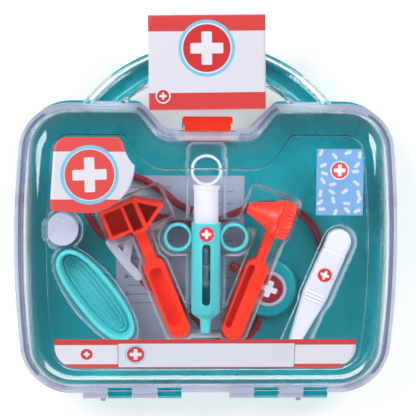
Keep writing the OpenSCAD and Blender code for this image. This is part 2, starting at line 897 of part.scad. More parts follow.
oto_end = [16.8, -64.7];
oto_neck = [39.1, -8];
oto_head = [45.4, 9];
cone_mouth = [29.6, 29.6];
cone_turn = -20;
cone_len = 22.3;
head_z = floor_z + eyepiece_r + 0.2;
oto_bar_t = 13;

// Frame of the viewing head: z runs from the cone's mouth to the eyepiece
module oto_axis(distance) {
    translate([cone_mouth.x, cone_mouth.y, head_z])
        rotate([0, 0, cone_turn])
            rotate([0, 90, 0])
                translate([0, 0, distance])
                    children();
}

// The handle is a deep trough whose mouth lies along its left side
module otoscope_body() {
    dir = (oto_neck - oto_end) / norm(oto_neck - oto_end);
    channel_r = 2.4;
    channel_wall = 1.1;
    channel_floor = 4;
    oto_r = oto_w / 2;
    neck_bar_r = 3.2;
    channel_side = (oto_r - channel_wall - channel_r) * [-dir.y, dir.x];
    color(signal_red) difference() {
        translate([0, 0, floor_z])
            linear_extrude(oto_bar_t) {
                bar(oto_end + oto_r * dir, oto_neck - oto_r * dir, oto_r);
                bar(oto_neck - oto_r * dir, oto_head, neck_bar_r);
            }
        translate([0, 0, floor_z + channel_floor])
            linear_extrude(oto_bar_t)
                bar(oto_end + 9 * dir + channel_side, oto_neck - 8 * dir + channel_side, channel_r);
        oto_axis(-1)
            cylinder(r = cone_r + 0.1, h = cone_len + 1, $fn = 64);
        oto_axis(cone_len - 0.1)
            cylinder(r = eyepiece_r + 0.1, h = eyepiece_len + 2, $fn = 64);
    }
}

module otoscope_cone() {
    cone_wall = 1.6;
    waist = [10.2, 7.6];
    shoulder = [15.8, 9.8];
    color(signal_red)
        oto_axis(0)
            rotate_extrude($fn = 64)
                polygon([[cone_tip_r - cone_wall, 0], [cone_tip_r, 0], [waist.y, waist.x],
                    [shoulder.y, shoulder.x], [cone_r - 0.5, cone_len - 2.7], [cone_r, cone_len - 2],
                    [cone_r, cone_len], [cone_r - cone_wall - 1, cone_len],
                    [shoulder.y - cone_wall, shoulder.x + 1], [waist.y - cone_wall, waist.x]]);
}

module otoscope_eyepiece() {
    grips = 26;
    groove = 0.8;
    lens_r = 8;
    color(signal_red)
        oto_axis(cone_len) {
            difference() {
                linear_extrude(eyepiece_len)
                    polygon([for (i = [0:2 * grips - 1]) let (
                        a = 180 * i / grips, r = eyepiece_r - groove * (i % 2)
                    ) [r * cos(a), r * sin(a)]]);
                translate([0, 0, -over])
                    cylinder(r = lens_r, h = eyepiece_len + 2 * over, $fn = 64);
            }
        }
}

/* Thermometer */

thermo_top = [94.8, 4.4];
thermo_tip = [62.8, -71.6];
thermo_waist = mix(thermo_top, thermo_tip, 0.52);

module thermometer_body() {
    color(white)
        translate([0, 0, floor_z])
            linear_extrude(thermo_t) {
                bar(thermo_top, thermo_waist, thermo_r);
                hull() {
                    translate(thermo_waist)
                        circle(r = thermo_r, $fn = soft_fn);
                    translate(thermo_tip)
                        circle(r = thermo_tip_r, $fn = soft_fn);
                }
            }
}

module thermometer_emblem() {
    color(signal_red)
        translate([84.7, -19.2, floor_z + thermo_t])
            cylinder(r = emblem_r - 0.2, h = 0.6, $fn = 48);
}

/* Dish, gauze roll and pack of plasters */

dish_at = [-78.6, -34.3];
dish_turn = 37.9;
dish_power = 2.5;

// The dish's long oval, |x/a|^p + |y/b|^p = 1, moved inwards by some distance
module dish_oval(inset) {
    steps = 56;
    translate(dish_at)
        rotate(dish_turn)
            polygon([for (i = [0:steps - 1]) let (a = 360 * (i + 0.5) / steps)
                [(dish_w / 2 - inset) * sign(cos(a)) * pow(abs(cos(a)), 2 / dish_power),
                    (dish_len / 2 - inset) * sign(sin(a)) * pow(abs(sin(a)), 2 / dish_power)]]);
}

module instrument_dish() {
    dish_floor = 2;
    rim_w = 2.6;
    ridge_w = 0.9;
    ridge_h = 1.6;
    color(aqua) translate([0, 0, floor_z]) {
        difference() {
            linear_extrude(dish_h)
                dish_oval(0);
            translate([0, 0, dish_floor])
                linear_extrude(dish_h)
                    dish_oval(rim_w);
        }
        for (inset = [6, 9.4])
            translate([0, 0, dish_floor - over])
                linear_extrude(ridge_h + over)
                    difference() {
                        dish_oval(inset);
                        dish_oval(inset + ridge_w);
                    }
    }
}

roll_at = [-101.8, 13.3];

module gauze_roll() {
    color(white)
        translate([roll_at.x, roll_at.y, floor_z])
            cylinder(r = roll_r, h = roll_h, $fn = 64);
}

pack_at = [94, 47.5];

module plaster_pack() {
    color([0.51, 0.69, 0.86])
        translate([pack_at.x - pack_w / 2, pack_at.y - pack_h / 2, deck_z])
            cube([pack_w, pack_h, pack_t]);
}

/* Tray */

module pocket_outline(grow) {
    g = pocket_clear + grow;
    finger_reach = finger_x + finger_r;
    // Syringe with its rings and the plunger's whole travel
    translate([syringe_x - barrel_r - g, barrel_low - shoulder_len - nozzle_len - g])
        square([2 * (barrel_r + g), thumb_travel_top - barrel_low + shoulder_len + nozzle_len + 2 * g]);
    bar([syringe_x - finger_reach + finger_r, finger_y], [syringe_x + finger_reach - finger_r, finger_y],
        finger_r + g);
    translate([syringe_x, thumb_travel_top - thumb_r])
        circle(r = thumb_r + g, $fn = soft_fn);
    // Hammer
    bar(hammer_low, hammer_high, hammer_r + g);
    bar(hammer_high, head_at, neck_r + g);
    head_frame()
        translate([head_left[0] - g, head_mid[1] - g])
            square([head_tip.x - head_left[0] + 2 * g, head_mid[3] + 2 * g]);
    // Otoscope, with the corner between its handle and its head filled
    bar(oto_end + [2, 6], oto_head, oto_w / 2 + g);
    hull() {
        translate(oto_head)
            circle(r = oto_w / 2 + g, $fn = soft_fn);
        translate(cone_mouth)
            rotate([0, 0, cone_turn])
                translate([-g, -eyepiece_r - g])
                    square([cone_len + eyepiece_len + 2 * g, 2 * (eyepiece_r + g)]);
    }
    // Thermometer, dish and gauze roll
    bar(thermo_top, thermo_waist, thermo_r + g);
    bar(thermo_waist, thermo_tip, thermo_r + g);
    dish_oval(-g);
    translate(roll_at)
        circle(r = roll_r + g, $fn = soft_fn);
}
thumb_travel_top = barrel_y + plunger_show + plunger_disc_t + 2 * thumb_r + plunger_rise;

module tray_body(grow, low, top) {
    loft([ring(shrink(tray_set, skirt_draft - grow), low), ring(shrink(tray_set, -grow), top)]);
}

module blister_tray() {
    color(clear) difference() {
        union() {
            difference() {
                tray_body(0, base_wall + over, deck_z);
                tray_body(-tray_t, base_wall - 2, deck_z - tray_t);
            }
            intersection() {
                translate([0, 0, pocket_z])
                    linear_extrude(deck_z - pocket_z)
                        pocket_outline(tray_t);
                tray_body(0, base_wall + over, deck_z);
            }
        }
        translate([0, 0, floor_z])
            linear_extrude(deck_z)
                pocket_outline(0);
    }
}

/* Under the tray: record sheet and stethoscope */

sheet_at = [-18.2, -11.6];
under_z = base_wall + sheet_t;
tube_z = under_z + tube_r + 0.3;

module record_sheet() {
    color(white)
        translate([sheet_at.x - sheet_w / 2, sheet_at.y - sheet_h / 2, base_wall])
            cube([sheet_w, sheet_h, sheet_t]);
}

yoke_at = [-57.5, -13];
yoke_out = [-46, -25.5];
yoke_left = [-70.3, 3.6];
yoke_right = [-54, 7];
bell_at = [46.1, -31.8];
bell_inlet = [40.4, -53.6];
main_route = [yoke_out, [-39.8, -32], [-26, -38.5], [-14, -44], [-7, -54], [3, -64],
    [16, -70], [29, -69], [37, -62], bell_inlet];
left_route = [yoke_left, [-77, 10], [-83, 18], [-86.5, 28], [-85, 40], [-76, 49], [-64, 52],
    [-52, 49.5], [-40, 44.2], [-29.4, 37.2], [-18.7, 28.5], [-9, 25]];
right_route = [yoke_right, [-50, 14], [-42, 19], [-30, 19], [-16, 15.5], [-2, 14.5],
    [10.4, 18], [23, 23.5], [35, 28], [50, 29], [63, 25.5], [74, 18], [81, 7.5], [84, -5]];
tube_sides = 8;
tube_rows = 2;

// A point on the smooth curve through the route, t counted in points
function route_point(route, t) = let (
    n = len(route) - 1, i = min(floor(t), n - 1), f = t - i,
    a = route[max(i - 1, 0)], b = route[i], c = route[i + 1], d = route[min(i + 2, n)]
) (2 * b + (c - a) * f + (2 * a - 5 * b + 4 * c - d) * f * f
    + (3 * b - a - 3 * c + d) * f * f * f) / 2;

function route_heading(route, t) = let (
    e = 0.05, n = len(route) - 1,
    d = route_point(route, min(t + e, n)) - route_point(route, max(t - e, 0))
) d / norm(d);

// A round tube swept along a flat route, its rings upright and square to the route
module tube(route, r, z) {
    rows = tube_rows * (len(route) - 1);
    rings = [for (i = [0:rows]) let (
        t = i / tube_rows, p = route_point(route, t), d = route_heading(route, t)
    ) [for (k = [0:tube_sides - 1]) let (a = 360 * (k + 0.5) / tube_sides)
        [p.x + d.y * r * cos(a), p.y - d.x * r * cos(a), z + r * sin(a)]]];
    loft(rings);
}

module steth_tubes() {
    color(dark_red) {
        tube(main_route, tube_r, tube_z);
        tube(left_route, tube_r, tube_z);
        tube(right_route, tube_r, tube_z);
    }
}

// A flat moulded piece with an arm to the start of each tube
module steth_yoke() {
    arm_r = tube_r + 0.6;
    yoke_t = 5.6;
    color(white)
        translate([0, 0, tube_z - yoke_t / 2])
            linear_extrude(yoke_t)
                for (end = [yoke_left, yoke_right, yoke_out]) {
                    arm = end - yoke_at;
                    bar(yoke_at, end - arm_r * arm / norm(arm), arm_r);
                }
}

module ear_tip(route) {
    last = len(route) - 1;
    at = route[last];
    d = route_heading(route, last);
    tip_len = 7;
    translate([at.x, at.y, tube_z])
        rotate([0, 0, atan2(d.y, d.x)])
            rotate([0, 90, 0]) {
                cylinder(r1 = tube_r, r2 = tube_r + 0.2, h = tip_len, $fn = soft_fn);
                translate([0, 0, tip_len])
                    sphere(r = tube_r + 0.4, $fn = soft_fn);
            }
}

module steth_ear_tips() {
    color(white) {
        ear_tip(left_route);
        ear_tip(right_route);
    }
}

module steth_connector() {
    stub_len = 11;
    stub_r = 3.2;
    color(signal_red)
        translate([bell_at.x, bell_at.y, under_z + stub_r + 0.1])
            rotate([0, 0, 148.5])
                rotate([0, 90, 0])
                    translate([0, 0, bell_r + 0.05])
                        difference() {
                            cylinder(r = stub_r, h = stub_len, $fn = soft_fn);
                            translate([0, 0, 2])
                                cylinder(r = stub_r - 1.2, h = stub_len, $fn = soft_fn);
                        }
}

bell_h = 7;
ring_r = 12.8;
disc_r = 10;

module chest_bell() {
    color(teal)
        translate([bell_at.x, bell_at.y, under_z])
            rotate_extrude($fn = 64)
                polygon([[0, 0], [bell_r - 1, 0], [bell_r, 1], [bell_r, bell_h - 2],
                    [bell_r - 1.5, bell_h - 0.6], [ring_r + 1.6, bell_h], [0, bell_h]]);
}

module chest_ring() {
    color([0.75, 0.75, 0.82])
        translate([bell_at.x, bell_at.y, under_z + bell_h])
            difference() {
                cylinder(r = ring_r, h = 1, $fn = 64);
                translate([0, 0, -over])
                    cylinder(r = disc_r + 0.3, h = 2, $fn = 64);
            }
}

module chest_disc() {
    color(signal_red)
        translate([bell_at.x, bell_at.y, under_z + bell_h])
            cylinder(r = disc_r, h = 1.4, $fn = 64);
}

base_shell();
base_hinge_knuckles();
latch_bracket();
latch_pin();
hinge_pin(group_starts[0]);  // hinge_pin_left
hinge_pin(group_starts[1]);  // hinge_pin_right
seal_ties();
lid_shell();
lid_hinge_knuckles();
lid_label();
name_strip();
latch_clip();
header_card();
blister_tray();
record_sheet();
reflex_hammer();
otoscope_body();
otoscope_cone();
otoscope_eyepiece();
syringe_barrel();
syringe_emblem();
syringe_plunger();
thermometer_body();
thermometer_emblem();
instrument_dish();
gauze_roll();
plaster_pack();
steth_tubes();
steth_yoke();
steth_ear_tips();
steth_connector();
chest_bell();
chest_ring();
chest_disc();
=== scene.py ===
# %% [markdown]
# # A toy doctor case, made to look real
#
# The case lies on its back: a teal base, a clear domed lid, a carry handle that is
# half teal and half clear, a red latch, a printed card on the handle, and a clear
# tray of toy instruments. The solids come from the part's source as a frame. This
# file gives each of them its fine shape and its finish.

# %% Load the frame
import math

import bmesh
import bpy
import numpy as np
from mathutils import Matrix, Vector


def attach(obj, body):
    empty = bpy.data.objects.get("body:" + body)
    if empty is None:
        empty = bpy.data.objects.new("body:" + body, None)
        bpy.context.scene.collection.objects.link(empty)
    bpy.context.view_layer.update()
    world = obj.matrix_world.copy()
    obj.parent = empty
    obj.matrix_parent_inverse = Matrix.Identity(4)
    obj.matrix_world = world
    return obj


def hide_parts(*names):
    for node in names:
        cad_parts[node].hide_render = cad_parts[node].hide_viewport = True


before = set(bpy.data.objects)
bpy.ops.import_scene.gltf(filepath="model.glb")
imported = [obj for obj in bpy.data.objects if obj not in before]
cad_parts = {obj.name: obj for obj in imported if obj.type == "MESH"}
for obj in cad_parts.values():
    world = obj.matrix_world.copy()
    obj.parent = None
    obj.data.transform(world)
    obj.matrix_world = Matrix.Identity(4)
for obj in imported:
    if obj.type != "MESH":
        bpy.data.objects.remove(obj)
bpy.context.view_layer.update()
MM = 0.001
print("CAD nodes:", len(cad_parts))

# %% [markdown]
# ## The camera
#
# A long lens about a metre above the case gives the flat look of a catalogue
# picture. It stands a little above the middle of the case and leans a few degrees,
# so the hinge side shows and the handle side does not. Its place is worked out from
# the point it looks at, three small angles and a distance.

# %% Camera
LOOK_AT = np.array([0.803, 29.56, 31.0])
DISTANCE = 997.9
LIFT, TURN, ROLL = np.radians([7.114, 2.274, 0.388])

back = np.array([-math.sin(TURN) * math.cos(LIFT), math.sin(LIFT), math.cos(TURN) * math.cos(LIFT)])
up = np.array([0.0, 1.0, 0.0]) - back[1] * back
up /= np.linalg.norm(up)
right = np.cross(up, back)
tilted_right = math.cos(ROLL) * right + math.sin(ROLL) * up
tilted_up = math.cos(ROLL) * up - math.sin(ROLL) * right
place = (LOOK_AT + DISTANCE * back) * MM

scene = bpy.context.scene
lens = bpy.data.cameras.new("camera")
lens.sensor_fit = "HORIZONTAL"
lens.sensor_width = 36.0
lens.lens = 1420 / 416 * 36.0
lens.clip_end = 20.0
camera = bpy.data.objects.new("camera", lens)
camera.matrix_world = Matrix([
    (tilted_right[0], tilted_up[0], back[0], place[0]),
    (tilted_right[1], tilted_up[1], back[1], place[1]),
    (tilted_right[2], tilted_up[2], back[2], place[2]),
    (0, 0, 0, 1)])
scene.collection.objects.link(camera)
scene.camera = camera
scene.view_settings.view_transform = "Standard"
print("camera stands at", np.round(place, 3), "m")

# %% [markdown]
# ## From numbers to meshes
#
# Every new surface is first a whole numpy array of points in millimetres. Most are
# rings of equal length, one after another, as a baker stacks rings of dough. The
# helpers here join such rings with four-sided faces, close the two ends and put the
# result into a mesh at the origin.


def new_mesh(name, points, quads, triangles=()):
    """Points in mm become vertices in metres; each row of quads and triangles is one face."""
    mesh = bpy.data.meshes.new(name)
    rows = [np.asarray(f, dtype=np.int32) for f in (quads, triangles) if len(f)]
    loops = np.concatenate([f.ravel() for f in rows])
    sizes = np.concatenate([np.full(len(f), f.shape[1]) for f in rows])
    mesh.vertices.add(len(points))
    mesh.vertices.foreach_set("co", (np.asarray(points) * MM).astype(np.float32).ravel())
    mesh.loops.add(len(loops))
    mesh.loops.foreach_set("vertex_index", loops)
    mesh.polygons.add(len(sizes))
    starts = np.concatenate([[0], np.cumsum(sizes)[:-1]]).astype(np.int32)
    mesh.polygons.foreach_set("loop_start", starts)
    mesh.update(calc_edges=True)
    mesh.validate()
    return mesh


def ring_faces(rows, columns, wrap=True):
    """Faces of a grid of rows x columns points: point (i, j) joins (i, j+1), (i+1, j+1), (i+1, j)."""
    i, j = np.meshgrid(np.arange(rows - 1), np.arange(columns if wrap else columns - 1), indexing="ij")
    k = (j + 1) % columns
    return np.stack([i * columns + j, i * columns + k, (i + 1) * columns + k, (i + 1) * columns + j],
                    axis=-1).reshape(-1, 4)


def at_height(line, z):
    """A flat line (n, 2) at one height, or at one height for each of its points."""
    return np.column_stack([line, np.broadcast_to(z, len(line))])


def boxy(wave, power):
    """A cosine or sine wave pushed out towards a square one: the smaller the power, the more."""
    return np.sign(wave) * np.abs(wave) ** power


def rotated(x, y, degrees):
    """Points turned anticlockwise about zero."""
    c, s = math.cos(math.radians(degrees)), math.sin(math.radians(degrees))
    return c * x - s * y, s * x + c * y


def solid(name, rings):
    """A closed solid through rings (m, n, 3): rings anticlockwise from above, lowest first, with a
    fan from the middle of the first and of the last ring as its two ends."""
    rings = np.asarray(rings, dtype=float)
    m, n = rings.shape[:2]
    points = np.vstack([rings.reshape(-1, 3), rings[0].mean(axis=0), rings[-1].mean(axis=0)])
    j = np.arange(n)
    k = (j + 1) % n
    first = np.column_stack([k, j, np.full(n, m * n)])
    last = np.column_stack([(m - 1) * n + j, (m - 1) * n + k, np.full(n, m * n + 1)])
    return new_mesh(name, points, ring_faces(m, n), np.vstack([first, last]))


def turned_out(mesh, merge=1e-6):
    """Merges doubled points and lets all faces of a closed mesh point outwards."""
    work = bmesh.new()
    work.from_mesh(mesh)
    bmesh.ops.remove_doubles(work, verts=work.verts, dist=merge)
    bmesh.ops.recalc_face_normals(work, faces=work.faces)
    work.to_mesh(mesh)
    work.free()
    return mesh


def piece(name, mesh, finish, body, replaced=(), sharp=32):
    """A finished piece: smooth but for edges sharper than the angle, riding on its CAD body."""
    obj = bpy.data.objects.new(name, mesh)
    scene.collection.objects.link(obj)
    mesh.materials.clear()
    mesh.materials.append(finish)
    mesh.shade_smooth()
    mesh.set_sharp_from_angle(angle=math.radians(sharp))
    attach(obj, body)
    if replaced:
        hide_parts(*replaced)
    print(f"{name}: {len(mesh.vertices)} points, rides on {body}")
    return obj


def thicken(obj, label, thickness, offset):
    """Gives a sheet its thickness in mm."""
    sheet = obj.modifiers.new(label, "SOLIDIFY")
    sheet.thickness = thickness * MM
    sheet.offset = offset


def combined(first, operation, *others):
    """Cuts, joins or intersects closed meshes with Blender's Boolean modifier."""
    for other in others:
        a = bpy.data.objects.new("first", first)
        b = bpy.data.objects.new("second", other)
        scene.collection.objects.link(a)
        scene.collection.objects.link(b)
        change = a.modifiers.new("change", "BOOLEAN")
        change.operation = operation
        change.solver = "MANIFOLD"
        change.object = b
        result = bpy.data.meshes.new_from_object(a.evaluated_get(bpy.context.evaluated_depsgraph_get()))
        bpy.data.objects.remove(a)
        bpy.data.objects.remove(b)
        assert len(result.polygons) > 0, "a Boolean left nothing"
        first = result
    return first


# %% [markdown]
# ## Procedural finishes
#
# The real toy is moulded plastic in a few strong colours, with printed card and film.
# A moulded surface is never one flat colour: it is a little cloudy, its gloss varies,
# and it has the very fine skin of the mould. One node group gives all of that from
# the piece's own coordinates, so every plastic piece shares it.

# %% Node helpers
def add_node(tree, kind, **settings):
    """A node of a kind, with its settings."""
    made = tree.nodes.new(kind)
    for key, value in settings.items():
        setattr(made, key, value)
    return made


def feed(tree, socket, value):
    """Links a socket to another one, or sets its plain value."""
    if isinstance(value, bpy.types.NodeSocket):
        tree.links.new(value, socket)
    elif value is not None:
        socket.default_value = value


def calc(tree, operation, *values):
    """One Math node; returns its result."""
    made = add_node(tree, "ShaderNodeMath", operation=operation)
    for socket, value in zip(made.inputs, values):
        feed(tree, socket, value)
    return made.outputs[0]


def blend_colour(tree, share, low, high):
    """low where share is 0, high where it is 1."""
    made = add_node(tree, "ShaderNodeMix", data_type="RGBA")
    feed(tree, made.inputs[0], share)
    feed(tree, made.inputs[6], low)
    feed(tree, made.inputs[7], high)
    return made.outputs[2]


def stretched(tree, value, low, high, new_low, new_high):
    """value between low and high becomes a value between new_low and new_high."""
    made = add_node(tree, "ShaderNodeMapRange")
    for socket, number in zip(made.inputs, (value, low, high, new_low, new_high)):
        feed(tree, socket, number)
    return made.outputs[0]


def noise(tree, where, scale, detail):
    """A Noise texture's value."""
    made = add_node(tree, "ShaderNodeTexNoise")
    made.inputs["Scale"].default_value = scale
    made.inputs["Detail"].default_value = detail
    feed(tree, made.inputs["Vector"], where)
    return made.outputs[0]


def new_group(name, takes, gives):
    """An empty node group with its sockets; returns the tree, its inputs and its output node."""
    tree = bpy.data.node_groups.new(name, "ShaderNodeTree")
    kinds = {"value": "NodeSocketFloat", "colour": "NodeSocketColor", "vector": "NodeSocketVector"}
    for label, kind, plain in takes:
        made = tree.interface.new_socket(name=label, in_out="INPUT", socket_type=kinds[kind])
        if plain is not None:
            made.default_value = plain
    for label, kind in gives:
        tree.interface.new_socket(name=label, in_out="OUTPUT", socket_type=kinds[kind])
    source = add_node(tree, "NodeGroupInput")
    target = add_node(tree, "NodeGroupOutput")
    return tree, source.outputs, target.inputs


def use_group(tree, group, **values):
    """Puts a group into a tree; underscores in the names stand for spaces."""
    made = add_node(tree, "ShaderNodeGroup", node_tree=group)
    for key, value in values.items():
        feed(tree, made.inputs[key.replace("_", " ")], value)
    return made


def srgb(r, g, b):
    """A colour as seen on screen, 0 to 255, as the linear colour that a shader takes."""
    c = np.array([r, g, b]) / 255.0
    c = np.where(c <= 0.04045, c / 12.92, ((c + 0.055) / 1.055) ** 2.4)
    return (*c, 1.0)


# %% Group: a moulded surface
moulded_surface, given, made = new_group(
    "moulded surface",
    [("Colour", "colour", (0.5, 0.5, 0.5, 1)), ("Depth", "value", 0.08), ("Gloss", "value", 0.25),
     ("Skin", "value", 0.06)],
    [("Colour", "colour"), ("Roughness", "value"), ("Normal", "vector")])
where = add_node(moulded_surface, "ShaderNodeTexCoord").outputs["Object"]
cloud = noise(moulded_surface, where, 38.0, 3.0)
skin = noise(moulded_surface, where, 900.0, 2.0)
darker = add_node(moulded_surface, "ShaderNodeHueSaturation")
feed(moulded_surface, darker.inputs["Color"], given["Colour"])
from_middle = calc(moulded_surface, "SUBTRACT", cloud, 0.5)
spread = calc(moulded_surface, "MULTIPLY", from_middle, given["Depth"])
feed(moulded_surface, darker.inputs["Value"], calc(moulded_surface, "ADD", 1.0, spread))
feed(moulded_surface, made["Colour"], darker.outputs[0])
wear = calc(moulded_surface, "MULTIPLY", cloud, 0.12)
feed(moulded_surface, made["Roughness"], calc(moulded_surface, "ADD", given["Gloss"], wear))
rise = add_node(moulded_surface, "ShaderNodeBump")
rise.inputs["Distance"].default_value = 0.0002
feed(moulded_surface, rise.inputs["Strength"], given["Skin"])
feed(moulded_surface, rise.inputs["Height"], skin)
feed(moulded_surface, made["Normal"], rise.outputs[0])

# %% Moulded plastics
def new_material(name):
    """An empty node material with the given name."""
    made = bpy.data.materials.new(name)
    made.use_nodes = True
    made.node_tree.nodes.clear()
    return made, made.node_tree


def finish_with(tree, shader):
    """Sends a shader to the surface."""
    target = add_node(tree, "ShaderNodeOutputMaterial")
    tree.links.new(shader, target.inputs["Surface"])


def shaded(tree, surface):
    """A Principled shader that takes colour, roughness and normal from a moulded surface."""
    shader = add_node(tree, "ShaderNodeBsdfPrincipled")
    for key, output in (("Base Color", "Colour"), ("Roughness", "Roughness"), ("Normal", "Normal")):
        feed(tree, shader.inputs[key], surface.outputs[output])
    return shader


def moulded(name, colour, gloss=0.25, depth=0.1, skin=0.06, coat=0.0):
    """Opaque moulded plastic in one colour."""
    made, tree = new_material(name)
    surface = use_group(tree, moulded_surface, Colour=colour, Depth=depth, Gloss=gloss, Skin=skin)
    shader = shaded(tree, surface)
    shader.inputs["Coat Weight"].default_value = coat
    shader.inputs["IOR"].default_value = 1.5
    finish_with(tree, shader.outputs[0])
    return made


CASE_TEAL = moulded("case teal", srgb(0, 160, 172), gloss=0.22, depth=0.16)
TOY_RED = moulded("toy red", srgb(250, 52, 28), gloss=0.3, depth=0.08)
TOY_AQUA = moulded("toy aqua", srgb(85, 205, 212), gloss=0.3)
TOY_WHITE = moulded("toy white", srgb(222, 222, 238), gloss=0.32)
TUBE_RED = moulded("tube red", srgb(150, 24, 44), gloss=0.22, coat=0.3)
CONNECTOR_RED = moulded("connector red", srgb(190, 30, 40), gloss=0.3)
RING_GREY = moulded("ring grey", srgb(190, 190, 210), gloss=0.2)
GAUZE = moulded("gauze", srgb(196, 198, 220), gloss=0.75, skin=0.5)

# %% [markdown]
# ## Clear plastic
#
# The lid is clear polystyrene. Light bends a little in it and it is glossy, but it
# hardly darkens what lies under it. Cycles would give it a dark shadow, because a
# light ray that bends does not find the lamp, so shadow rays see a plain transparent
# sheet. The rim's lavender bands, which are the white floor and the teal base seen
# through the flange and reflected in it, are painted: that part mixes a lit colour
# into the glass as painted reflection and shade.

# %% Clear finishes
def clear(name, tint, gloss, ripple, painted_share=0.0, painted_colour=(1, 1, 1, 1), ior=1.46, steep_painted_share=0.0):
    """Clear plastic with slow ripples; painted_share is the share of a lit colour mixed in, painted in for
    what is seen through and reflected in the plastic, and steep_painted_share that share on upright walls,
    which are seen edge on, painted in as highlight."""
    made, tree = new_material(name)
    where = add_node(tree, "ShaderNodeTexCoord").outputs["Object"]
    slow = noise(tree, where, 55.0, 1.0)
    rise = add_node(tree, "ShaderNodeBump")
    rise.inputs["Strength"].default_value = ripple
    rise.inputs["Distance"].default_value = 0.001
    feed(tree, rise.inputs["Height"], slow)
    glass = add_node(tree, "ShaderNodeBsdfPrincipled")
    glass.inputs["Base Color"].default_value = tint
    glass.inputs["Transmission Weight"].default_value = 1.0
    glass.inputs["IOR"].default_value = ior
    feed(tree, glass.inputs["Roughness"], stretched(tree, slow, 0.3, 0.7, gloss, gloss + 0.03))
    feed(tree, glass.inputs["Normal"], rise.outputs[0])
    shader = glass.outputs[0]
    # The painted layer is a lit colour standing in for light seen through and reflected in the plastic:
    # painted reflection and shade.
    if painted_share or steep_painted_share:
        painted_layer = add_node(tree, "ShaderNodeBsdfPrincipled")
        painted_layer.inputs["Base Color"].default_value = painted_colour
        painted_layer.inputs["Roughness"].default_value = 0.2
        feed(tree, painted_layer.inputs["Normal"], rise.outputs[0])
        both = add_node(tree, "ShaderNodeMixShader")
        tilt = add_node(tree, "ShaderNodeSeparateXYZ")
        feed(tree, tilt.inputs[0], add_node(tree, "ShaderNodeNewGeometry").outputs["True Normal"])
        flat = calc(tree, "ABSOLUTE", tilt.outputs[2])
        feed(tree, both.inputs[0], stretched(tree, flat, 0.3, 0.9, max(painted_share, steep_painted_share), painted_share))
        tree.links.new(shader, both.inputs[1])
        tree.links.new(painted_layer.outputs[0], both.inputs[2])
        shader = both.outputs[0]
    plain = add_node(tree, "ShaderNodeBsdfTransparent")
    shadow = 1.0 - 0.5 * painted_share
    plain.inputs[0].default_value = (shadow, shadow, shadow, 1)
    choice = add_node(tree, "ShaderNodeMixShader")
    tree.links.new(add_node(tree, "ShaderNodeLightPath").outputs["Is Shadow Ray"], choice.inputs[0])
    tree.links.new(shader, choice.inputs[1])
    tree.links.new(plain.outputs[0], choice.inputs[2])
    finish_with(tree, choice.outputs[0])
    return made


CLEAR_LID = clear("clear lid", (0.97, 0.99, 1.0, 1), 0.015, 0.05)
# Rim finishes: lavender, a thin darker line and grey-green, each a lit colour painted in for the white floor
# and the teal base seen through the clear flange and reflected in it.
RIM_PAINTED_REFLECTION = clear("rim with painted reflection", (0.93, 0.93, 1.0, 1), 0.12, 0.1,
                  painted_share=0.6, painted_colour=srgb(205, 205, 228))
RIM_PAINTED_DARK_LINE = clear("rim painted dark line", (0.85, 0.83, 0.95, 1), 0.1, 0.1,
                 painted_share=0.75, painted_colour=srgb(128, 118, 160))
RIM_FOOT_PAINTED_SEE_THROUGH = clear("rim foot painted see-through", (0.95, 0.97, 1.0, 1), 0.1, 0.1,
                 painted_share=0.4, painted_colour=srgb(165, 190, 195))
# The tray's upright pocket walls mix in a pale lit colour as painted highlight lines.
CLEAR_TRAY = clear("clear sheet", (0.98, 0.99, 1.0, 1), 0.03, 0.1, ior=1.3,
                   painted_colour=srgb(205, 222, 232), steep_painted_share=0.3)

# %% [markdown]
# ## The stethoscope's tubes
#
# Three soft red tubes lie under the tray: one from the chest piece to the white fork
# and two from the fork to the ear tips. Each is one smooth curve through a few
# points, a Catmull-Rom curve, with a round section carried along it.

# %% Tubes
TUBE_R, TUBE_Z = 2.6, 5.2
MAIN_ROUTE = [(-46, -25.5), (-39.8, -32), (-26, -38.5), (-14, -44), (-7, -54), (3, -64), (16, -70),
              (29, -69), (37, -62), (40.4, -53.6)]
LEFT_ROUTE = [(-70.3, 3.6), (-77, 10), (-83, 18), (-86.5, 28), (-85, 40), (-76, 49), (-64, 52),
              (-52, 49.5), (-40, 44.2), (-29.4, 37.2), (-18.7, 28.5), (-9, 25)]
RIGHT_ROUTE = [(-54, 7), (-50, 14), (-42, 19), (-30, 19), (-16, 15.5), (-2, 14.5), (10.4, 18),
               (23, 23.5), (35, 28), (50, 29), (63, 25.5), (74, 18), (81, 7.5), (84, -5)]


def smooth_route(points, steps=10):
    """Catmull-Rom: p = (2b + (c-a)t + (2a-5b+4c-d)t2 + (3b-a-3c+d)t3) / 2 between b and c."""
    p = np.asarray(points, dtype=float)
    p = np.vstack([p[:1], p, p[-1:]])
    a, b, c, d = (p[i:len(p) - 3 + i, None, :] for i in range(4))
    t = np.linspace(0, 1, steps, endpoint=False)[None, :, None]
    curve = (2 * b + (c - a) * t + (2 * a - 5 * b + 4 * c - d) * t**2 + (3 * b - a - 3 * c + d) * t**3) / 2
    return np.vstack([curve.reshape(-1, p.shape[1]), p[-1]])


def tube(name, route, radius, z, sides=16):
    """Rings of radius r, upright and square to a flat route: p + r cos(a) side + r sin(a) up."""
    line = smooth_route(route)
    heading = np.gradient(line, axis=0)
    heading /= np.linalg.norm(heading, axis=1, keepdims=True)
    a = 2 * np.pi * np.arange(sides) / sides
    side = np.column_stack([heading[:, 1], -heading[:, 0]])
    rings = np.zeros((len(line), sides, 3))
    rings[:, :, :2] = line[:, None, :] + radius * np.cos(a)[None, :, None] * side[:, None, :]
    rings[:, :, 2] = z + radius * np.sin(a)
    centre = at_height(line, z) * MM
    return turned_out(solid(name, rings)), centre

# %% [markdown]
# ## The outline that all shells share
#
# Base, lid and tray have the same kind of outline: a wide rectangle with round
# corners, sides that bow out a little, and a dip in the handle edge for the latch.
# Ten numbers describe it. A shell is a stack of such outlines, and because every
# outline has the same count of points, any two can be blended.

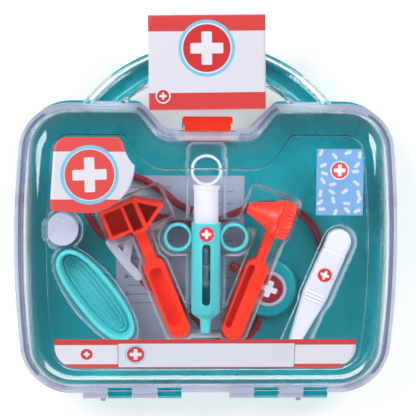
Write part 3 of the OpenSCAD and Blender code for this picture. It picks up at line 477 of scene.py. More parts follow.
# %% Outline
SIDE_BOW, RIM_HALF_W, RIM_TOP = 7.6, 127.4, 103.0
LID_LOW, FLANGE_TOP = 30.2, 33.0
LID_TOP, ARCH_R, LID_WALL, WINDOW_STEP = 57.0, 245.0, 1.6, 1.2
RIM = np.array([127.4, 103, -103, 30, 32, 85, 23.5, 9, 12, 48.0])
WINDOW = np.array([103.5, 81, -83, 11, 15, 58, 28, 6, 24, 55.0])
BASE = np.array([125.6, 104.6, -101.2, 30, 30.2, 84, 23.5, 9, 12, 48.0])
TRAY = np.array([119.6, 97, -95.2, 24, 26, 79, 23.5, 14, 14, 45.0])
WINDOW_INSET = (23.9 + 22 + 20) / 3
WALL_U = 4.8 / WINDOW_INSET


def mix(a, b, t):
    """a where t is 0, b where t is 1."""
    return a + (b - a) * t


def arc(x, y, r, start, end, steps):
    """Points (x + r cos a, y + r sin a) for a from start to end, in degrees."""
    a = np.radians(np.linspace(start, end, steps + 1))
    return np.column_stack([x + r * np.cos(a), y + r * np.sin(a)])


def outline(s):
    """The right half as arcs and a straight side, its x times 1 + bow (1 - (y / top)^2), and its
    mirror image: a closed line, anticlockwise from the hinge edge."""
    half_w, top, low, top_r, low_r, dip_y, flat, hump_r, dip_r, slope = s
    bends = hump_r + dip_r
    rad = math.radians(slope)
    hump_x = flat + bends * math.sin(rad) + (top - dip_y - bends * (1 - math.cos(rad))) / math.tan(rad)
    side_y = np.linspace(low + low_r, top - top_r, 18)[1:-1]
    half = np.vstack([arc(half_w - low_r, low + low_r, low_r, -90, 0, 16),
                      np.column_stack([np.full(len(side_y), half_w), side_y]),
                      arc(half_w - top_r, top - top_r, top_r, 0, 90, 16),
                      arc(hump_x, top - hump_r, hump_r, 90, 90 + slope, 8),
                      arc(flat, dip_y + dip_r, dip_r, slope - 90, -90, 9)])
    half[:, 0] *= 1 + SIDE_BOW / RIM_HALF_W * (1 - (half[:, 1] / RIM_TOP) ** 2)
    return np.vstack([half, half[::-1] * [-1, 1]])


def shrunk(s, d):
    """The outline's numbers, moved inwards by d all round."""
    return s + d * np.array([-1, -1, 1, -1, -1, -1, 0, -1, 1, 0])


def flat_ring(s, z):
    """An outline at one height."""
    return at_height(outline(s), z)


def arch_z(y):
    """Height of the lid's face, which is curved along Y only: top - y^2 / 2R."""
    return LID_TOP - y * y / (2 * ARCH_R)


print("outline points:", len(outline(RIM)), "window inset:", round(WINDOW_INSET, 2), "mm")

# %% [markdown]
# ## The base
#
# The base is a shallow teal tub: flat back, rounded edge, walls that lean out a
# little, and a lip where the lid meets it. One stack of outlines makes the outside and
# a second one, 2 mm further in, is cut out of it. The back half of the grip is joined on
# before that cut and hollowed after it.

# %% Base tub
def base_edge(reach, low):
    """The round edge of the back: inset 8 - reach sin a at height low + reach (1 - cos a)."""
    return [flat_ring(shrunk(BASE, 8 - reach * math.sin(a)), low + reach * (1 - math.cos(a)))
            for a in np.radians(np.linspace(0, 90, 7))]


def base_outside():
    """The round edge, the leaning wall and the lip: (inset, height)."""
    lip = [(1.3, 16), (0.6, 25.8), (0.15, 26.3), (0, 26.9), (0, 29.5), (0.15, 29.85), (0.5, 30.0),
           (2.4, 30.0)]
    return solid("base", base_edge(6, 0) + [flat_ring(shrunk(BASE, d), z) for d, z in lip])


HANDLE_Y, HANDLE_R, HANDLE_W, HANDLE_WALL = 35.0, 109.0, 19.8, 1.8
GRIP_ANGLE, COLLAR_ANGLE, GRIP_SQUARE = 62.0, 37.3, 0.72


def along_handle(name, start, end, count, r, z):
    """A section of radii r and heights z, carried round the handle's centre, in degrees from the top."""
    angle = np.radians(90 + np.linspace(start, end, count))
    rings = np.stack([np.cos(angle)[:, None] * r, HANDLE_Y + np.sin(angle)[:, None] * r,
                      np.broadcast_to(z, (count, len(r)))], axis=-1)
    return turned_out(solid(name, rings))


def grip(name, z, height, wall=0.0, grow=0.0, start=-GRIP_ANGLE, end=GRIP_ANGLE, turn=1, sink=0.0):
    """A D-shaped section, x = w |cos a|^q, z = h sin(a)^q, carried along the handle's arc."""
    a = np.radians(np.linspace(0, 180, 25))
    across = (HANDLE_W / 2 - wall + grow) * boxy(np.cos(a), GRIP_SQUARE)
    rise = (height - wall + grow) * np.abs(np.sin(a)) ** GRIP_SQUARE
    if sink:
        across = np.concatenate([across, across[-1:], across[:1]])
        rise = np.concatenate([rise, [-sink, -sink]])
    count = int(abs(end - start) * 0.9) + 2
    return along_handle(name, start, end, count, HANDLE_R - HANDLE_W / 2 + across, z + turn * rise)


def grip_bead(name, z, turn):
    """A flat bead of 1.2 mm that stands out round the outside of the grip at the parting line."""
    out, rise = np.array([(-1.2, 0), (1.0, 0), (1.2, 0.2), (1.2, 1.0), (1.0, 1.2), (-1.2, 1.2)]).T
    return along_handle(name, -GRIP_ANGLE, GRIP_ANGLE, 112, HANDLE_R + out, z + turn * rise)


def grip_half(z, height, turn):
    """The grip with its bead, and its two thicker roots past the collars."""
    whole = grip("grip", z, height, turn=turn)
    roots = [grip("root", z, height, grow=1.0, start=s * COLLAR_ANGLE, end=s * GRIP_ANGLE, turn=turn)
             for s in (-1, 1)]
    return combined(whole, "UNION", grip_bead("bead", z, turn), *roots)


inside = solid("inside", base_edge(4, 2) + [flat_ring(shrunk(BASE, 2.6), z) for z in (30.1, 32)])
base_mesh = combined(base_outside(), "UNION", grip_half(30.0, 10.0, -1))
base_mesh = combined(base_mesh, "DIFFERENCE", inside)
hollow = combined(grip("hollow", 30.0, 10.0, wall=HANDLE_WALL, turn=-1, sink=1.0), "DIFFERENCE",
                  base_outside())
base_mesh = turned_out(combined(base_mesh, "DIFFERENCE", hollow))
piece("base_tub", base_mesh, CASE_TEAL, "base", ["base_shell"])

# %% [markdown]
# ## The clear lid
#
# The lid stands on a flat flange, rises in a round shoulder and ends in an arched
# window that is set down by a small step. Outside and inside are two stacks of
# blended outlines, and the inside is cut out of the outside. The front half of the
# grip is joined to it and hollowed in the same way. Faces near the rim get finishes
# with painted reflection of the floor and base seen through the flange, the rest the clear one.

# %% Lid
def lid_ring(s, lift, drop=0.0):
    """An outline lifted a share of the way from the flange to the arch."""
    line = outline(s)
    z = mix(FLANGE_TOP, arch_z(line[:, 1]) + WINDOW_STEP, lift) - drop
    return at_height(line, z)


def window_ring(share, drop=0.0):
    """The window's outline, shrunk to a share, on the arch."""
    line = outline(WINDOW) * share
    return at_height(line, arch_z(line[:, 1]) - drop)


def lid_u(u):
    """The outline's numbers a share u of the way from the rim to the window."""
    return mix(RIM, WINDOW, u)


SHARES = [1.0, 0.93, 0.85, 0.75, 0.64, 0.52, 0.4, 0.28, 0.16, 0.06]
SHOULDER = np.radians(np.linspace(0, 90, 15))


def lid_outside():
    """Flange with two fine beads, shoulder u = mix(.82, wall, cos a), lift sin a, ledge and window."""
    flange = [(0.2, LID_LOW), (0.0, LID_LOW + 0.25), (0.0, 32.5), (0.15, 32.85), (0.5, 33.0), (1.5, 33.0),
              (1.75, 33.3), (2.05, 33.3), (2.3, 33.0), (4.2, 33.0), (4.6, 33.15)]
    rings = [flat_ring(lid_u(d / WINDOW_INSET), z) for d, z in flange]
    rings += [lid_ring(lid_u(mix(0.82, WALL_U, math.cos(a))), math.sin(a)) for a in SHOULDER[1:]]
    ledge = [(0.90, 0.0), (0.95, 0.0), (0.965, 0.12), (0.98, 0.6), (0.995, 1.1)]
    rings += [lid_ring(lid_u(u), 1.0, drop) for u, drop in ledge]
    return rings + [window_ring(s) for s in SHARES]


def lid_inside():
    """The same, moved in by the wall: square to the flange at the foot and down at the window."""
    rings = [flat_ring(shrunk(lid_u(WALL_U), LID_WALL), LID_LOW - 1)]
    rings += [lid_ring(shrunk(lid_u(mix(0.82, WALL_U, math.cos(a))), LID_WALL * math.cos(a)),
                       math.sin(a), LID_WALL * math.sin(a)) for a in SHOULDER]
    rings += [lid_ring(lid_u(0.95), 1.0, LID_WALL), lid_ring(lid_u(0.985), 1.0, LID_WALL + 1.0)]
    return rings + [window_ring(s, LID_WALL) for s in SHARES]


def block(name, low, high, r=0.0):
    """A box with four round upright edges of radius r, from one corner to the other."""
    (x0, y0, z0), (x1, y1, z1) = low, high
    r = max(r, 0.01)
    line = np.vstack([arc(x1 - r, y0 + r, r, -90, 0, 4), arc(x1 - r, y1 - r, r, 0, 90, 4),
                      arc(x0 + r, y1 - r, r, 90, 180, 4), arc(x0 + r, y0 + r, r, 180, 270, 4)])
    return solid(name, [at_height(line, z) for z in (z0, z1)])


def prism(name, line, low, high):
    """A closed flat line, anticlockwise, raised from one height to another."""
    line = np.asarray(line, dtype=float)
    return solid(name, [at_height(line, z) for z in (low, high)])


outer = solid("lid", lid_outside())
past_rim = solid("past_rim", [flat_ring(shrunk(RIM, 0.1), z) for z in (FLANGE_TOP - 0.4, 60.0)])
front_grip = combined(grip_half(LID_LOW, 10.8, 1), "DIFFERENCE", past_rim)
lid_mesh = combined(outer, "UNION", front_grip)
HINGE_STARTS, PITCH = (-87.7, 16.9), 17.7
gussets = [block("gusset", (s + i * PITCH + 0.5, -103, 32.9), (s + (i + 1) * PITCH - 0.5, -99, 34.6), 0.5)
           for s in HINGE_STARTS for i in (0, 2)]
lid_mesh = combined(lid_mesh, "UNION", *gussets)
lid_mesh = combined(lid_mesh, "DIFFERENCE", solid("inside", lid_inside()))
hollow = combined(grip("hollow", LID_LOW, 10.8, wall=HANDLE_WALL, sink=1.0), "DIFFERENCE",
                  solid("end_wall", [flat_ring(shrunk(RIM, -1.5), z) for z in (20.0, 60.0)]))
lid_mesh = combined(lid_mesh, "DIFFERENCE", hollow)
cutouts = [block("cut", (s + i * PITCH, -104, 30), (s + (i + 1) * PITCH, -99, 33.1), 0.5)
           for s in HINGE_STARTS for i in (1, 3)]
notch = block("notch", (-20, 83.7, 30), (20, 86, 33.6), 0.5)
card_slot = block("slot", (-44.25, 103.8, 30), (44.25, 163.8, 31.2), 0.2)
lid_mesh = turned_out(combined(lid_mesh, "DIFFERENCE", *cutouts, notch, card_slot))
clear_lid = piece("clear_lid", lid_mesh, CLEAR_LID, "lid", ["lid_shell"], sharp=25)
for finish in (RIM_PAINTED_REFLECTION, RIM_PAINTED_DARK_LINE, RIM_FOOT_PAINTED_SEE_THROUGH):
    clear_lid.data.materials.append(finish)


def distance_inside(points, line):
    """Distance from points to a closed line, positive inside it (by winding of the crossings)."""
    a, b = line, np.roll(line, -1, axis=0)
    edge = b - a
    best = np.full(len(points), np.inf)
    inside = np.zeros(len(points), dtype=bool)
    for p, e, q in zip(a, edge, b):
        t = np.clip(((points - p) @ e) / max(e @ e, 1e-12), 0, 1)
        best = np.minimum(best, np.linalg.norm(points - p - t[:, None] * e, axis=1))
        crosses = (p[1] > points[:, 1]) != (q[1] > points[:, 1])
        with np.errstate(divide="ignore", invalid="ignore"):
            x = p[0] + (points[:, 1] - p[1]) * e[0] / e[1]
        inside ^= crosses & (points[:, 0] < x)
    return np.where(inside, best, -best)


centres = np.zeros(3 * len(lid_mesh.polygons))
lid_mesh.polygons.foreach_get("center", centres)
centres = centres.reshape(-1, 3) / MM
# Faces within 3.4, 3.9 and 5.6 mm inside the rim take the three rim finishes: painted reflection, painted
# dark line and painted see-through of the base.
depth = distance_inside(centres[:, :2], outline(RIM))
low = (depth > -1.2) & (centres[:, 2] < 35.2)
zone = np.select([low & (depth < 3.4), low & (depth < 3.9), low & (depth < 5.6)], [1, 2, 3], 0)
lid_mesh.polygons.foreach_set("material_index", zone.astype(np.int32))
print("faces at the rim:", int((zone > 0).sum()), "of", len(zone))

# %% [markdown]
# ## Carried-over pieces
#
# Latch, hinge knuckles, pins, hammer, otoscope body, fork, connector and chest piece
# already have their true shape in the CAD, but with knife edges. A merged copy of each
# gets a narrow rounded bevel, as the mould gives the real ones, because that thin line
# of light along an edge is what tells the eye how big a thing is.

# %% Bevelled copies
def dressed(node, finish, body, bevel=0.4, segments=2):
    """A merged copy of a CAD node with its flat faces joined and its sharp edges rounded."""
    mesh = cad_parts[node].data.copy()
    work = bmesh.new()
    work.from_mesh(mesh)
    bmesh.ops.remove_doubles(work, verts=work.verts, dist=2e-6)
    bmesh.ops.dissolve_limit(work, angle_limit=math.radians(1.0), verts=work.verts, edges=work.edges)
    bmesh.ops.recalc_face_normals(work, faces=work.faces)
    work.to_mesh(mesh)
    work.free()
    obj = piece(node + "_dressed", mesh, finish, body, [node])
    if bevel:
        soft = obj.modifiers.new("edge", "BEVEL")
        soft.width = bevel * MM
        soft.segments = segments
        soft.limit_method = "ANGLE"
        soft.angle_limit = math.radians(32)
        soft.harden_normals = True
    return obj


PIN_STEEL, steel = new_material("pin steel")
metal = shaded(steel, use_group(steel, moulded_surface, Colour=(0.62, 0.62, 0.65, 1), Gloss=0.25))
metal.inputs["Metallic"].default_value = 1.0
finish_with(steel, metal.outputs[0])

dressed("base_hinge_knuckles", CASE_TEAL, "base", 0.35)
# The clear lid knuckles take the rim's finish, with its painted lavender reflection.
dressed("lid_hinge_knuckles", RIM_PAINTED_REFLECTION, "lid", 0.35)
bracket = dressed("latch_bracket", CASE_TEAL, "base", 0.2)
latch_pin = dressed("latch_pin", PIN_STEEL, "base", 0.15)
CLIP_HALF_W = 17.3 * MM
for part in (bracket, latch_pin):                # the front view shows neither past the clip's cap
    for corner in part.data.vertices:
        corner.co.x = max(-CLIP_HALF_W, min(CLIP_HALF_W, corner.co.x))
piece("latch_keeper", block("latch_keeper", (-16.5, 78.5, 28.6), (16.5, 83.9, 30.1), 0.5), TOY_RED, "base")
dressed("latch_clip", TOY_RED, "latch", 0.45, 3)
for pin in ("hinge_pin_left", "hinge_pin_right"):
    dressed(pin, PIN_STEEL, "base", 0.15)
# The clear ties take the rim's finish, with its painted lavender reflection.
dressed("seal_ties", RIM_PAINTED_REFLECTION, "base", 0.1)
dressed("reflex_hammer", TOY_RED, "base", 0.45, 3)
dressed("otoscope_body", TOY_RED, "base", 0.6, 3)
fork = dressed("steth_yoke", TOY_WHITE, "base", 0.6, 3)
connector = dressed("steth_connector", CONNECTOR_RED, "base", 0.3)
dressed("chest_bell", CASE_TEAL, "base", 0.3)
dressed("chest_ring", RING_GREY, "base", 0.25)

# %% [markdown]
# ## Turned pieces
#
# Cone, eyepiece, syringe, plunger and gauze roll are turned forms: a profile of
# radius against distance, carried round an axis. A short chamfer in the profile is
# rounding enough at this size.

# %% Turned forms
def turned(name, profile, origin, axis, side, steps=72, ribs=None):
    """Rings p + t axis + r (cos a side + sin a axis x side) for each (t, r) of a profile."""
    t, r = np.asarray(profile, dtype=float).T
    origin, axis, side = (np.asarray(v, dtype=float) for v in (origin, axis, side))
    other = np.cross(axis, side)
    a = 2 * np.pi * np.arange(steps) / steps
    radius = r[:, None] * np.ones(steps)[None, :]
    if ribs is not None:
        radius = ribs(t[:, None], radius, a[None, :])
    rings = (origin + t[:, None, None] * axis
             + radius[..., None] * (np.cos(a)[:, None] * side + np.sin(a)[:, None] * other))
    return turned_out(solid(name, rings), 1e-7)


TOY_FLOOR = 12.8
CONE_AXIS = np.array([math.cos(math.radians(-20)), math.sin(math.radians(-20)), 0.0])
CONE_AT = np.array([29.6, 29.6, 26.9])
cone_profile = [(3.5, 0.02), (3.5, 2.3), (0.4, 2.6), (0.0, 2.9), (0.0, 3.7), (0.3, 4.1), (5, 5.7),
                (10.2, 7.5), (13, 8.6), (15.4, 9.6), (16.2, 10.0), (19.0, 12.0), (19.7, 12.5),
                (20.3, 13.0), (22.0, 13.0), (22.3, 12.7), (22.3, 0.02)]
piece("speculum_cone", turned("speculum_cone", cone_profile, CONE_AT, CONE_AXIS, (0, 0, 1)),
      TOY_RED, "base", ["otoscope_cone"], sharp=28)


def grip_ribs(t, r, a):
    """Round ribs: r + depth (|cos 13a|^0.6 - 1) on the outer band only."""
    band = (r > 11.5) * np.clip((t - 2.6) / 0.6, 0, 1) * np.clip((9.1 - t) / 0.5, 0, 1)
    return r + 0.8 * band * (np.abs(np.cos(13 * a)) ** 0.6 - 1)


eye_profile = [(0, 8.0), (0, 12.9), (0.4, 13.5), (1.8, 13.9), (2.5, 13.9), (2.9, 13.5), (3.3, 13.7),
               (5.0, 13.9), (7.5, 13.9), (8.6, 13.6), (9.2, 13.1), (9.5, 12.4), (9.5, 8.6), (9.2, 8.2),
               (8.6, 8.0), (2.0, 8.0), (1.9, 0.02)]
eyepiece = turned("eyepiece_ring", [(0, 0.02)] + eye_profile, CONE_AT + 22.3 * CONE_AXIS, CONE_AXIS,
                  (0, 0, 1), 208, grip_ribs)
piece("eyepiece_ring", eyepiece, TOY_RED, "base", ["otoscope_eyepiece"], sharp=40)

roll_profile = [(0.0, 0.02), (0.0, 10.9), (0.4, 11.3), (13.4, 11.3), (13.9, 11.0)]
layer_r = np.linspace(10.8, 0.4, 70)
roll_profile += list(zip(13.8 + 0.18 * np.cos(2 * np.pi * layer_r / 0.9), layer_r))
roll_profile += [(13.8, 0.02)]
gauze = turned("gauze_roll_wound", roll_profile, (-101.8, 13.3, TOY_FLOOR), (0, 0, 1), (1, 0, 0))
piece("gauze_roll_wound", gauze, GAUZE, "base", ["gauze_roll"], sharp=50)

# %% Ear tips and the three tubes
def ear_tip(name, route):
    """A short turned cap with a round bead, in line with the end of its tube."""
    line = smooth_route(route)
    run = line[-1] - line[-2]
    run = run / np.linalg.norm(run)
    bead = [(8.6 - 3.0 * math.cos(a), 3.0 * math.sin(a)) for a in np.radians(np.linspace(50, 177, 12))]
    profile = [(0.0, 0.02), (0.0, 2.4), (0.3, 2.7), (1.6, 2.7), (2.0, 2.5), (5.6, 2.2)] + bead
    return turned(name, profile, (*line[-1], TUBE_Z), (*run, 0), (0, 0, 1), 40)


tip_left, tip_right = (piece(name, ear_tip(name, route), TOY_WHITE, "base", ["steth_ear_tips"])
                       for name, route in (("ear_tip_left", LEFT_ROUTE), ("ear_tip_right", RIGHT_ROUTE)))
for label, route, ends in (("main", MAIN_ROUTE[::-1], (fork, connector)), ("left", LEFT_ROUTE, (tip_left,)),
                           ("right", RIGHT_ROUTE, (tip_right,))):
    tube_mesh, centre = tube(f"steth_tube_{label}", route, TUBE_R, TUBE_Z)
    hose = piece(f"steth_tube_{label}", tube_mesh, TUBE_RED, "base", ["steth_tubes"])

# %% [markdown]
# ## The syringe
#
# The barrel is a turned tube with a shoulder and a nozzle. Its two finger rings are
# flat bands, and a long slot in front shows the white rod inside. Rings are joined
# first, then bore and slot are cut through everything, as the mould's cores do.

# %% Syringe
SYRINGE_X, SYRINGE_Z = -0.2, 23.3
ALONG = np.array([0.0, 1.0, 0.0])


def band_ring(name, x, y, z, outer_r, band, thick, steps=72):
    """A flat ring whose section is a rounded box: superellipse of power 0.45 round a circle."""
    b = 2 * np.pi * np.arange(20) / 20
    across = band / 2 * boxy(np.cos(b), 0.45)
    rise = thick / 2 * boxy(np.sin(b), 0.45)
    a = 2 * np.pi * np.arange(steps) / steps
    r = outer_r - band / 2 + across
    grid = np.stack([x + np.cos(a)[:, None] * r, y + np.sin(a)[:, None] * r,
                     np.broadcast_to(z + rise, (steps, 20))], axis=-1)
    i, j = np.meshgrid(np.arange(steps), np.arange(20), indexing="ij")
    k, m = (i + 1) % steps, (j + 1) % 20
    quads = np.stack([i * 20 + j, k * 20 + j, k * 20 + m, i * 20 + m], axis=-1).reshape(-1, 4)
    return turned_out(new_mesh(name, grid.reshape(-1, 3), quads))


def bar_line(a, b, r, steps=24):
    """A bar with round ends from a to b, as a closed flat line, anticlockwise."""
    a, b = np.asarray(a, dtype=float), np.asarray(b, dtype=float)
    along = math.degrees(math.atan2(*(b - a)[::-1]))
    return np.vstack([arc(*b, r, along - 90, along + 90, steps), arc(*a, r, along + 90, along + 270, steps)])


axis_at = (SYRINGE_X, 0, SYRINGE_Z)
barrel_profile = [(-60.8, 0.02), (-60.8, 2.9), (-60.5, 3.4), (-51.8, 3.95), (-51.2, 4.3), (-47.4, 9.3),
                  (-46.4, 10.1), (-45.6, 10.3), (15.0, 10.3), (18.1, 10.3), (18.6, 9.9), (18.6, 0.02)]
barrel = turned("syringe_tube", barrel_profile, axis_at, ALONG, (1, 0, 0), 96)
rings = [band_ring("finger_ring", SYRINGE_X + s * 19.85, 8.0, SYRINGE_Z, 10.2, 2.3, 6.0) for s in (-1, 1)]
barrel = combined(barrel, "UNION", *rings)
bore = turned("bore", [(-45.6, 0.02), (-45.6, 9.0), (20, 9.0), (20, 0.02)], axis_at, ALONG, (1, 0, 0), 96)
tip_hole = turned("tip_hole", [(-62, 0.02), (-62, 1.3), (-53, 1.3), (-53, 0.02)], axis_at, ALONG,
                  (1, 0, 0), 32)
slot_line = bar_line((SYRINGE_X, -36.85), (SYRINGE_X, 1.25), 2.95)
slot_hole = prism("slot_hole", slot_line, SYRINGE_Z + 3, SYRINGE_Z + 14)
barrel = turned_out(combined(barrel, "DIFFERENCE", bore, tip_hole, slot_hole))
piece("syringe_tube", barrel, TOY_AQUA, "base", ["syringe_barrel"], sharp=30)


def ball(middle, r, start, end):
    """Part of a ball on the rod: (middle - r cos a, r sin a)."""
    return [(middle - r * math.cos(a), r * math.sin(a)) for a in np.radians(np.linspace(start, end, 8))]


rod = ([(-28.49, 0.02)] + ball(-25.5, 3, 8, 143) + [(-18.6, 1.8), (-16, 2.6), (-13.4, 3.7), (-12.2, 4.0),
       (-11.8, 3.8), (-11.6, 1.8)] + ball(-1, 3, 37, 143) + [(3, 1.8), (12.6, 1.8), (12.9, 8.2), (13.3, 8.7),
       (41.8, 8.7), (42.2, 8.7), (42.3, 9.1), (42.5, 9.4), (44.6, 9.4), (45.0, 9.0), (45.0, 0.02)])
shaft = turned("plunger_shaft", rod, axis_at, ALONG, (1, 0, 0), 64)
thumb = band_ring("thumb_ring", SYRINGE_X, 55.5, SYRINGE_Z, 11.1, 1.9, 5.0)
neck = block("neck", (SYRINGE_X - 2.2, 44.0, SYRINGE_Z - 2.2), (SYRINGE_X + 2.2, 45.6, SYRINGE_Z + 2.2), 0.8)
plunger = turned_out(combined(shaft, "UNION", neck, thumb))
piece("plunger", plunger, TOY_WHITE, "plunger", ["syringe_plunger"], sharp=30)

# %% [markdown]
# ## Thermometer and dish
#
# The thermometer is a flat bar that narrows to a tip: boxy sections whose half width
# and height follow the distance along it. The dish is a set of nested bars with round
# ends, each at its own height: up the outside, over the rim and down to a floor with
# two low ridges that follow the outline.

# %% Thermometer
THERMO_TOP, THERMO_TIP = np.array([94.8, 4.4]), np.array([62.8, -71.6])
THERMO_RIBS = (41.1, 43.5, 45.9)
THERMO_LEN = float(np.linalg.norm(THERMO_TIP - THERMO_TOP))


def thermometer():
    """Sections at s from -R to L + r: half width R to 52% then to r, round ends, z of power 0.5."""
    run = (THERMO_TIP - THERMO_TOP) / THERMO_LEN
    side = np.array([-run[1], run[0]])
    big, small = 8.9, 3.6
    ends = [-big + big * (1 - np.cos(np.linspace(0.03, np.pi / 2, 14))),
            np.arange(0.4, THERMO_LEN, 0.4),
            THERMO_LEN + small * np.sin(np.linspace(0, np.pi / 2 - 0.03, 10))]
    s = np.unique(np.concatenate(ends))
    width = mix(big, small, np.clip((s - 0.52 * THERMO_LEN) / (0.48 * THERMO_LEN), 0, 1))
    width = np.where(s < 0, np.sqrt(np.maximum(big**2 - s**2, 0)), width)
    past = np.clip(s - THERMO_LEN, 0, small)
    width = np.where(s > THERMO_LEN, np.sqrt(np.maximum(small**2 - past**2, 0)), width)
    groove = 1 - 0.07 * np.exp(-((s - 7.9) / 0.5) ** 2)
    half_h = 6.0 * np.clip(width / 3.2, 0, 1) ** 0.5
    ribs = sum(np.exp(-((s - c) / 0.55) ** 2) for c in THERMO_RIBS)
    b = 2 * np.pi * np.arange(36) / 36
    across, rise = boxy(np.cos(b), 0.5), boxy(np.sin(b), 0.5)
    flat = THERMO_TOP + s[:, None] * run
    x = flat[:, None, :] + (width * groove)[:, None, None] * across[None, :, None] * side
    z = 18.8 + (half_h * groove)[:, None] * rise[None, :]
    z = z + 0.8 * ribs[:, None] * (np.abs(across)[None, :] < 0.72) * (rise[None, :] > 0.5)
    return turned_out(solid("thermometer", np.dstack([x, z])), 1e-7)


piece("thermometer_bar", thermometer(), TOY_WHITE, "base", ["thermometer_body"], sharp=45)

# %% Dish
DISH_AT, DISH_TURN = np.array([-78.6, -34.3]), 37.9
DISH_HALF_W, DISH_HALF_L = 14.0, 39.0


def dish_line(inset, steps=112):
    """A long oval |x/a|^2.5 + |y/b|^2.5 = 1 with a = 14 and b = 39 mm, less the inset, turned."""
    a = 2 * np.pi * (np.arange(steps) + 0.5) / steps
    x = max(DISH_HALF_W - inset, 0.02) * boxy(np.cos(a), 0.8)
    y = max(DISH_HALF_L - inset, 0.05) * boxy(np.sin(a), 0.8)
    return DISH_AT + np.column_stack(rotated(x, y, DISH_TURN))


def dish():
    """Nested ovals: (inset, height) from the foot, over the rim, to the middle with its ridges."""
    inner = np.linspace(4.4, 13.9, 60)
    ridge = 1.6 * sum(np.exp(-((inner - c) / 0.55) ** 4) for c in (6.0, 9.2, 12.2))
    rows = [(1.2, 0.0), (0.5, 0.25), (0.1, 0.9), (0.0, 12.2), (0.15, 12.75), (0.6, 13.0),
            (1.9, 13.0), (2.4, 12.8), (2.7, 12.3), (3.6, 4.4), (4.0, 2.4)]
    rows += list(zip(inner, 2.0 + ridge))
    rings = [at_height(dish_line(d), TOY_FLOOR + z) for d, z in rows]
    return turned_out(solid("dish", rings), 1e-7)


piece("instrument_bowl", dish(), TOY_AQUA, "base", ["instrument_dish"], sharp=40)

# %% [markdown]
# ## The formed tray
#
# The tray is a thin clear sheet, heated and sucked into a mould, so each instrument
# has a pocket with soft sloping walls. That is a height for every point of a grid:
# the deck, less a smooth step where the point lies inside a pocket's outline. The
# outline is the least of the distances to a few bars and boxes, one per instrument.

# %% Tray
def to_bar(p, a, b, r):
    """Distance to a bar with round ends, negative inside."""
    a, b = np.asarray(a, dtype=float), np.asarray(b, dtype=float)
    d = b - a
    t = np.clip(((p - a) @ d) / max(d @ d, 1e-9), 0, 1)
    return np.linalg.norm(p - a - t[..., None] * d, axis=-1) - r


def to_box(p, centre, half, turn=0.0, r=2.0):
    """Distance to a turned box with round corners, negative inside."""
    q = p - np.asarray(centre, dtype=float)
    q = np.abs(np.stack(rotated(q[..., 0], q[..., 1], -turn), axis=-1))
    q = q - np.asarray(half, dtype=float) + r
    return np.linalg.norm(np.maximum(q, 0), axis=-1) + np.minimum(q.max(axis=-1), 0) - r


def to_oval(p):
    """About the distance to the dish: (value^(1/2.5) - 1) times the radius that way."""
    q = p - DISH_AT
    x, y = rotated(q[..., 0], q[..., 1], -DISH_TURN)
    value = (np.abs(x / DISH_HALF_W) ** 2.5 + np.abs(y / DISH_HALF_L) ** 2.5) ** 0.4
    return (value - 1) * np.linalg.norm(q, axis=-1) / np.maximum(value, 1e-3) * 0.9


def head_point(x, y):
    """A point of the hammer's head on the page: turned 23.5 degrees about (-46.9, 13.2)."""
    return np.array([-46.9, 13.2]) + rotated(x, y, 23.5)


def pocket_distance(p):
    """Least distance to the instruments' outlines."""
    waist = mix(THERMO_TOP, THERMO_TIP, 0.52)
    shapes = [to_box(p, (-0.2, 5.7), (10.3, 66.5)), to_bar(p, (-20.05, 8.0), (19.65, 8.0), 10.2),
              to_bar(p, (-0.2, 55.5), (-0.2, 61.0), 11.1),
              to_bar(p, (-19.0, -57.2), (-36.7, -14.2), 7.5), to_bar(p, (-36.7, -14.2), (-46.9, 13.2), 3.9),
              to_box(p, head_point(0.95, 11.4), (22.05, 11.8), 23.5),
              to_bar(p, (19.6, -57.5), (45.4, 9.0), 7.7),
              to_box(p, (29.6 + 15.9 * CONE_AXIS[0], 29.6 + 15.9 * CONE_AXIS[1]), (15.9, 13.9), -20),
              to_bar(p, THERMO_TOP, waist, 8.9), to_bar(p, waist, THERMO_TIP, 7.2),
              to_oval(p), to_bar(p, (-101.8, 13.3), (-101.7, 13.3), 11.3)]
    return np.min(shapes, axis=0)


DECK_Z, POCKET_DEPTH = 25.0, 12.2


def tray_surface(step=1.05):
    """z = 25 - 12.2 smooth(t), t = (3.8 - distance) / 3, on a grid trimmed to the outline."""
    x = np.arange(-129, 129.5, step)
    y = np.arange(-97, 98.5, step)
    grid = np.stack(np.meshgrid(x, y, indexing="ij"), axis=-1)
    flat = grid.reshape(-1, 2)
    line = outline(shrunk(TRAY, 0.4))
    depth = distance_inside(flat, line)
    t = np.clip((3.8 - pocket_distance(flat)) / 3.0, 0, 1)
    z = DECK_Z - POCKET_DEPTH * t * t * (3 - 2 * t)
    quads = ring_faces(len(x), len(y), wrap=False)
    quads = quads[(depth[quads] > 0).any(axis=1)]
    moved = flat.copy()
    out = np.where((depth <= 0) & (depth > -3 * step))[0]
    a, b = line, np.roll(line, -1, axis=0)
    best = np.full(len(out), np.inf)
    for p, q in zip(a, b):
        e = q - p
        s = np.clip(((flat[out] - p) @ e) / (e @ e), 0, 1)
        spot = p + s[:, None] * e
        gap = np.linalg.norm(flat[out] - spot, axis=1)
        nearer = gap < best
        best = np.where(nearer, gap, best)
        moved[out[nearer]] = spot[nearer]
    points = np.column_stack([moved, z])
    used, quads = np.unique(quads, return_inverse=True)
    points, quads = points[used], quads.reshape(-1, 4)[:, ::-1]
    skirt = [flat_ring(shrunk(TRAY, d), h)
             for d, h in ((0.4, DECK_Z), (0.1, 24.85), (0.0, 24.5), (-0.2, 20), (-3.4, 3.0))]
    n = len(skirt[0])
    rows = ring_faces(len(skirt), n)[:, ::-1] + len(points)
    return np.vstack([points] + skirt), np.vstack([quads[:, ::-1], rows])


tray_points, tray_quads = tray_surface()
tray = piece("formed_tray", new_mesh("formed_tray", tray_points, tray_quads), CLEAR_TRAY, "base",
             ["blister_tray"], sharp=60)
thicken(tray, "sheet", 0.5, -1)

